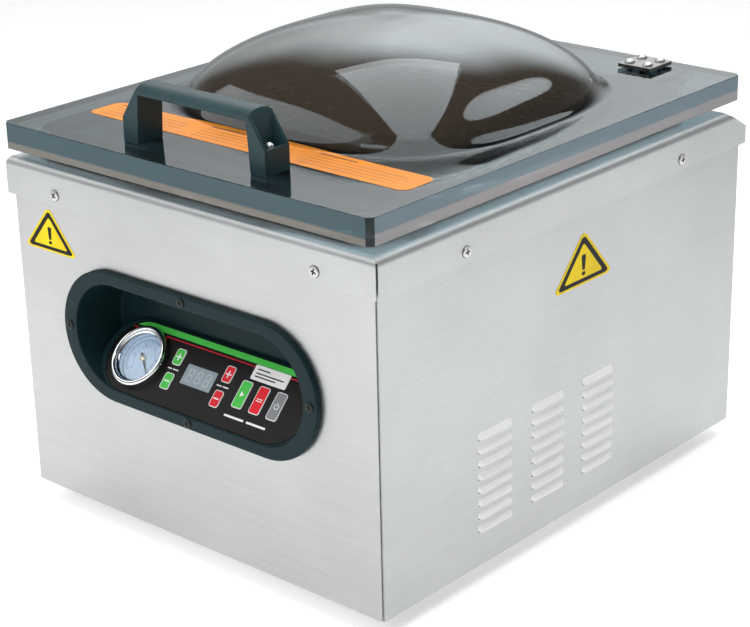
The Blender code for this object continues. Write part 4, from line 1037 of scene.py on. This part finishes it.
def cut(piece, adder):
    """Cuts a throwaway tool out of a piece's mesh."""
    build = bmesh.new()
    adder(build)
    bmesh.ops.recalc_face_normals(build, faces=build.faces)
    mesh = bpy.data.meshes.new("tool")
    build.to_mesh(mesh)
    build.free()
    tool = bpy.data.objects.new("tool", mesh)
    SCENE.collection.objects.link(tool)
    modifier = piece.modifiers.new("cut", "BOOLEAN")
    modifier.operation = "DIFFERENCE"
    modifier.solver = "EXACT"
    modifier.object = tool
    bpy.context.view_layer.update()
    result = bpy.data.meshes.new_from_object(piece.evaluated_get(bpy.context.evaluated_depsgraph_get()))
    piece.modifiers.clear()
    result.name = piece.name
    piece.data = result
    bpy.data.objects.remove(tool, do_unlink=True)
    smooth_mesh(piece.data, 30)


def cross_screw(node, spot, axis, radius, look):
    """A domed head with a tapered cross recess and a short shank, and a dark piece of painted shade: a cross
    sunk in the recess and a thin ring round the head.
    """
    turn = Vector((0, 0, 1)).rotation_difference(Vector(axis)).to_matrix().to_4x4()
    place = Matrix.Translation(spot) @ turn @ Matrix.Rotation(0.4 + 7 * spot.x, 4, "Z")
    shank = radius * 0.48
    profile = [(shank, -0.008), (shank, GAP), (radius, GAP), (radius, GAP + radius * 0.06),
               (radius * 0.93, GAP + radius * 0.15), (radius * 0.72, GAP + radius * 0.21),
               (radius * 0.40, GAP + radius * 0.24), (radius * 0.1, GAP + radius * 0.25)]
    piece = made_by(node + "_head", lambda build: lathe(build, profile, spot, axis, 40), "cabinet", look,
                    (node,))
    arm, width = radius * 0.60, radius * 0.15

    def cross(build):
        outline = plus(0, 0, arm, width)
        floor = [place @ Vector((a * 0.7, b * 0.7, radius * 0.02)) for a, b in outline]
        mouth = [place @ Vector((a * 1.1, b * 1.1, radius * 0.40)) for a, b in outline]
        loft(build, [floor, mouth])

    # Painted shade: a dark cross inside the recess and a thin dark ring round the head.
    def shadow(build):
        prism(build, plus(0, 0, arm * 0.95, width * 0.95), radius * 0.12, radius * 0.20,
              lambda a, b, depth: place @ Vector((a, b, depth)))
        lathe(build, [(radius * 0.97, 0.00004), (radius * 1.06, 0.00004), (radius * 1.06, 0.00022),
                      (radius * 0.97, 0.00022)], spot, axis, 40, True)

    cut(piece, cross)
    made_by(node + "_recess_painted_shade", shadow, "cabinet", "dark_print_and_shade")
    return piece


cut(overlay_piece, on_dial_axis([(GAUGE_BORE, -0.006), (GAUGE_BORE, 0.004)]))


def add_key_holes(build):
    for _, u, w, size, _, _ in KEYS:
        prism(build, tile(u, w, size, -0.00015), -0.006, 0.004, on_panel)


cut(overlay_piece, add_key_holes)

skirt_x, skirt_y = HALF_WIDTH + SKIRT_OVERHANG, HALF_DEPTH + SKIRT_OVERHANG
for number, offset in ((1, -SCREW_SPREAD), (2, SCREW_SPREAD)):
    for label, spot, axis in (
            ("front", (offset, SHIFT_Y - skirt_y, SCREW_Z), (0, -1, 0)),
            ("rear", (offset, SHIFT_Y + skirt_y, SCREW_Z), (0, 1, 0)),
            ("left_side", (-skirt_x, offset + SHIFT_Y, SCREW_Z), (-1, 0, 0)),
            ("right_side", (skirt_x, offset + SHIFT_Y, SCREW_Z), (1, 0, 0))):
        cross_screw(f"skirt_screw_{label}_{number}", Vector(spot), axis, SKIRT_SCREW_RADIUS, "screw")
for label, x, z in (("top", 0, BEZEL_SCREW_RISE), ("bottom", 0, -BEZEL_SCREW_RISE),
                    ("left", -BEZEL_SCREW_REACH, 0), ("right", BEZEL_SCREW_REACH, 0)):
    spot = Vector((x, BEZEL_FACE, BEZEL_Z + z))
    cross_screw(f"bezel_screw_{label}", spot, (0, -1, 0), BEZEL_SCREW_RADIUS, "black")

PLATE_LOW = SLAB_TOP + GAP + 0.0010
PLATE_HIGH = PLATE_LOW + HINGE_PLATE_THICK


def upright(profile, spots, count=32):
    """An adder that turns a profile about an upright axis at each spot."""
    def adder(build):
        for spot in spots:
            lathe(build, profile, spot, (0, 0, 1), count)
    return adder


for label, side in (("left", -1), ("right", 1)):
    x, y = side * HINGE_X, HINGE_PLATE_Y
    bolt_spots = [(x + dx, y + dy, 0) for dx in (-HINGE_BOLT_OFFSET, HINGE_BOLT_OFFSET)
                  for dy in (-HINGE_BOLT_OFFSET, HINGE_BOLT_OFFSET)]

    def plate(build, x=x, y=y):
        def outline(inset):
            half = HINGE_PLATE_HALF - inset
            return rounded(x - half, x + half, y - half, y + half, 0.0015)
        soft_prism(build, outline, PLATE_LOW, PLATE_HIGH, flat, 0.0004, 2)

    made_by(f"hinge_plate_{label}", plate, "lid_assembly", "hinge_steel", (f"hinge_clamp_{label}",),
            slot="bright_steel")
    dome = [(0.0041, 0.00002), (0.0041, 0.0006), (0.0036, 0.0016), (0.0026, 0.0024),
            (0.0012, 0.0028), (0.0002, 0.0029)]
    bolt = [(0.0019, SLAB_BOTTOM + 0.001), (0.0019, PLATE_HIGH - 0.001)]
    bolt += [(radius, PLATE_HIGH + height) for radius, height in dome]
    made_by(f"hinge_bolts_{label}", upright(bolt, bolt_spots), "lid_assembly", "screw", slot="bright_steel")
    washer = [(0.0044, SLAB_TOP + 0.0001), (0.0044, PLATE_LOW)]
    made_by(f"hinge_washers_{label}", upright(washer, bolt_spots), "lid_assembly", "black")
    refined(f"hinge_leaf_{label}", "hinge_steel", 0.0004, body="lid_assembly")
    refined(f"hinge_bracket_{label}", "hinge_steel", 0.0004)

    radius, rim = 0.0041, 0.0014
    ball = [(radius * math.cos(t), rim + radius * math.sin(t)) for t in (math.pi / 18 * i for i in range(9))]
    bolt = [(0.0020, -0.0245), (0.0020, GAP), (radius, GAP), *ball, (0.0002, rim + radius)]
    made_by(f"handle_bolt_{label}_head", upright(bolt, [(side * HANDLE_BOLT_X, HANDLE_Y, HANDLE_SEAT)]),
            "lid_assembly", "bright", (f"handle_bolt_{label}",), slot="bright_steel")

refined("lid_handle", "handle_teal", 0.0007, 3, "lid_assembly")

# ---------------------------------------------------------------- cabinet sheets, seals and feet

refined("top_deck", "steel_deck", 0.0003)
refined("front_panel", "steel_x", 0.0003)
refined("rear_panel", "steel_x", 0.0003)


def add_hood(build, side, start, z):
    """One louvre: a thin shell that slopes out of the sheet, rounded at both ends and open below."""
    swell = [(0, 0.10), (0.006, 0.42), (0.022, 0.70), (0.045, 0.88), (0.08, 1.0)]
    face = HALF_WIDTH - 0.0002
    loops = []
    for share, size in swell + [(1 - share, size) for share, size in reversed(swell)]:
        y, top, low = start + LOUVRE_LENGTH * share, z + 0.0030 * size, z - 0.0029 * (0.5 + 0.5 * size)
        outer = [(face + LOUVRE_REACH * size * i / 5, top - (top - low) * i / 5) for i in range(6)]
        inner = [(max(x - LOUVRE_SHELL, face - 0.0001), max(height - LOUVRE_SHELL * 0.8, low))
                 for x, height in reversed(outer)]
        loops.append([Vector((side * x, y, height)) for x, height in outer + inner])
    loft(build, loops)


for label, side in (("left", -1), ("right", 1)):
    node = label + "_side_panel"
    panel = bmesh.new()
    panel.from_mesh(NODES[node].data)
    hoods = [vert for vert in panel.verts if abs(vert.co.x) > HALF_WIDTH + 0.0002]
    bmesh.ops.delete(panel, geom=hoods, context="VERTS")
    bmesh.ops.dissolve_limit(panel, angle_limit=math.radians(0.6), verts=panel.verts, edges=panel.edges)
    finish(node + "_finished", panel, "cabinet", "steel_y", (node,), slot="brushed_steel")

    def hoods_of_side(build, side=side):
        for column in range(LOUVRE_COLUMNS):
            start = LOUVRE_FIRST_Y + column * LOUVRE_COLUMN_PITCH
            for row in range(LOUVRE_ROWS):
                add_hood(build, side, start, LOUVRE_LOWEST + row * LOUVRE_ROW_PITCH)

    # The hoods wear a near-white painted highlight in place of the sheet's steel.
    made_by(label + "_louvre_hoods", hoods_of_side, "cabinet", "hood_steel_painted_highlight", slot="brushed_steel", angle=50)

refined("chamber_tub", "bright", 0.0)
refined("filler_plate", "board", 0.0008, 3)
refined("power_inlet", "black", 0.0003)
refined("seal_bar", "bright", 0.0004, body="seal_bar_carrier")
refined("counter_bar", "silicone", 0.0006, body="lid_assembly")


def add_gasket(build):
    """The sealing ring, with a rounded section."""
    low, high = DECK_TOP + GAP, SLAB_BOTTOM + GAP
    middle_z, half_z = (low + high) / 2, (high - low) / 2
    loops = []
    for k in range(14):
        angle = math.tau * k / 14
        out, up = (math.copysign(abs(turn) ** 0.6, turn) for turn in (math.cos(angle), math.sin(angle)))
        grow = 0.007 * out
        outline = rounded(-0.160 - grow, 0.160 + grow, -0.201 - grow + SHIFT_Y, 0.161 + grow + SHIFT_Y,
                          0.016 + grow, 8)
        loops.append([Vector((x, y, middle_z + half_z * up)) for x, y in outline])
    loft(build, loops, closed=True)


made_by("gasket_ring", add_gasket, "lid_assembly", "silicone", ("lid_gasket",), slot="pale_silicone",
        angle=60)

for foot in ("foot_front_left", "foot_front_right", "foot_rear_left", "foot_rear_right"):
    low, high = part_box(foot)
    pad = [(0.0100, 0), (0.0112, 0.0004), (0.0122, 0.0016), (0.0130, 0.010), (0.0135, high.z)]
    middle = ((low.x + high.x) / 2, (low.y + high.y) / 2, 0)
    made_by(foot + "_pad", upright(pad, [middle], 40), "cabinet", "rubber", (foot,), slot="black_rubber")

# ---------------------------------------------------------------- nodes that keep their CAD shape

PLAIN = {
    "base_plate": "steel_x", "vacuum_pump": "casting", "pump_motor": "casting", "cooling_fan": "black",
    "transformer": "copper", "control_board": "circuit", "vent_valve": "bright", "vacuum_hose": "rubber",
}
for node, look in PLAIN.items():
    NODES[node].data.materials.clear()
    NODES[node].data.materials.append(LOOK[look])

for piece in SCENE.objects:
    if piece.type == "MESH" and piece.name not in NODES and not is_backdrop(piece):
        weights = piece.modifiers.new("shading", "WEIGHTED_NORMAL")
        weights.keep_sharp = True
        weights.weight = 80
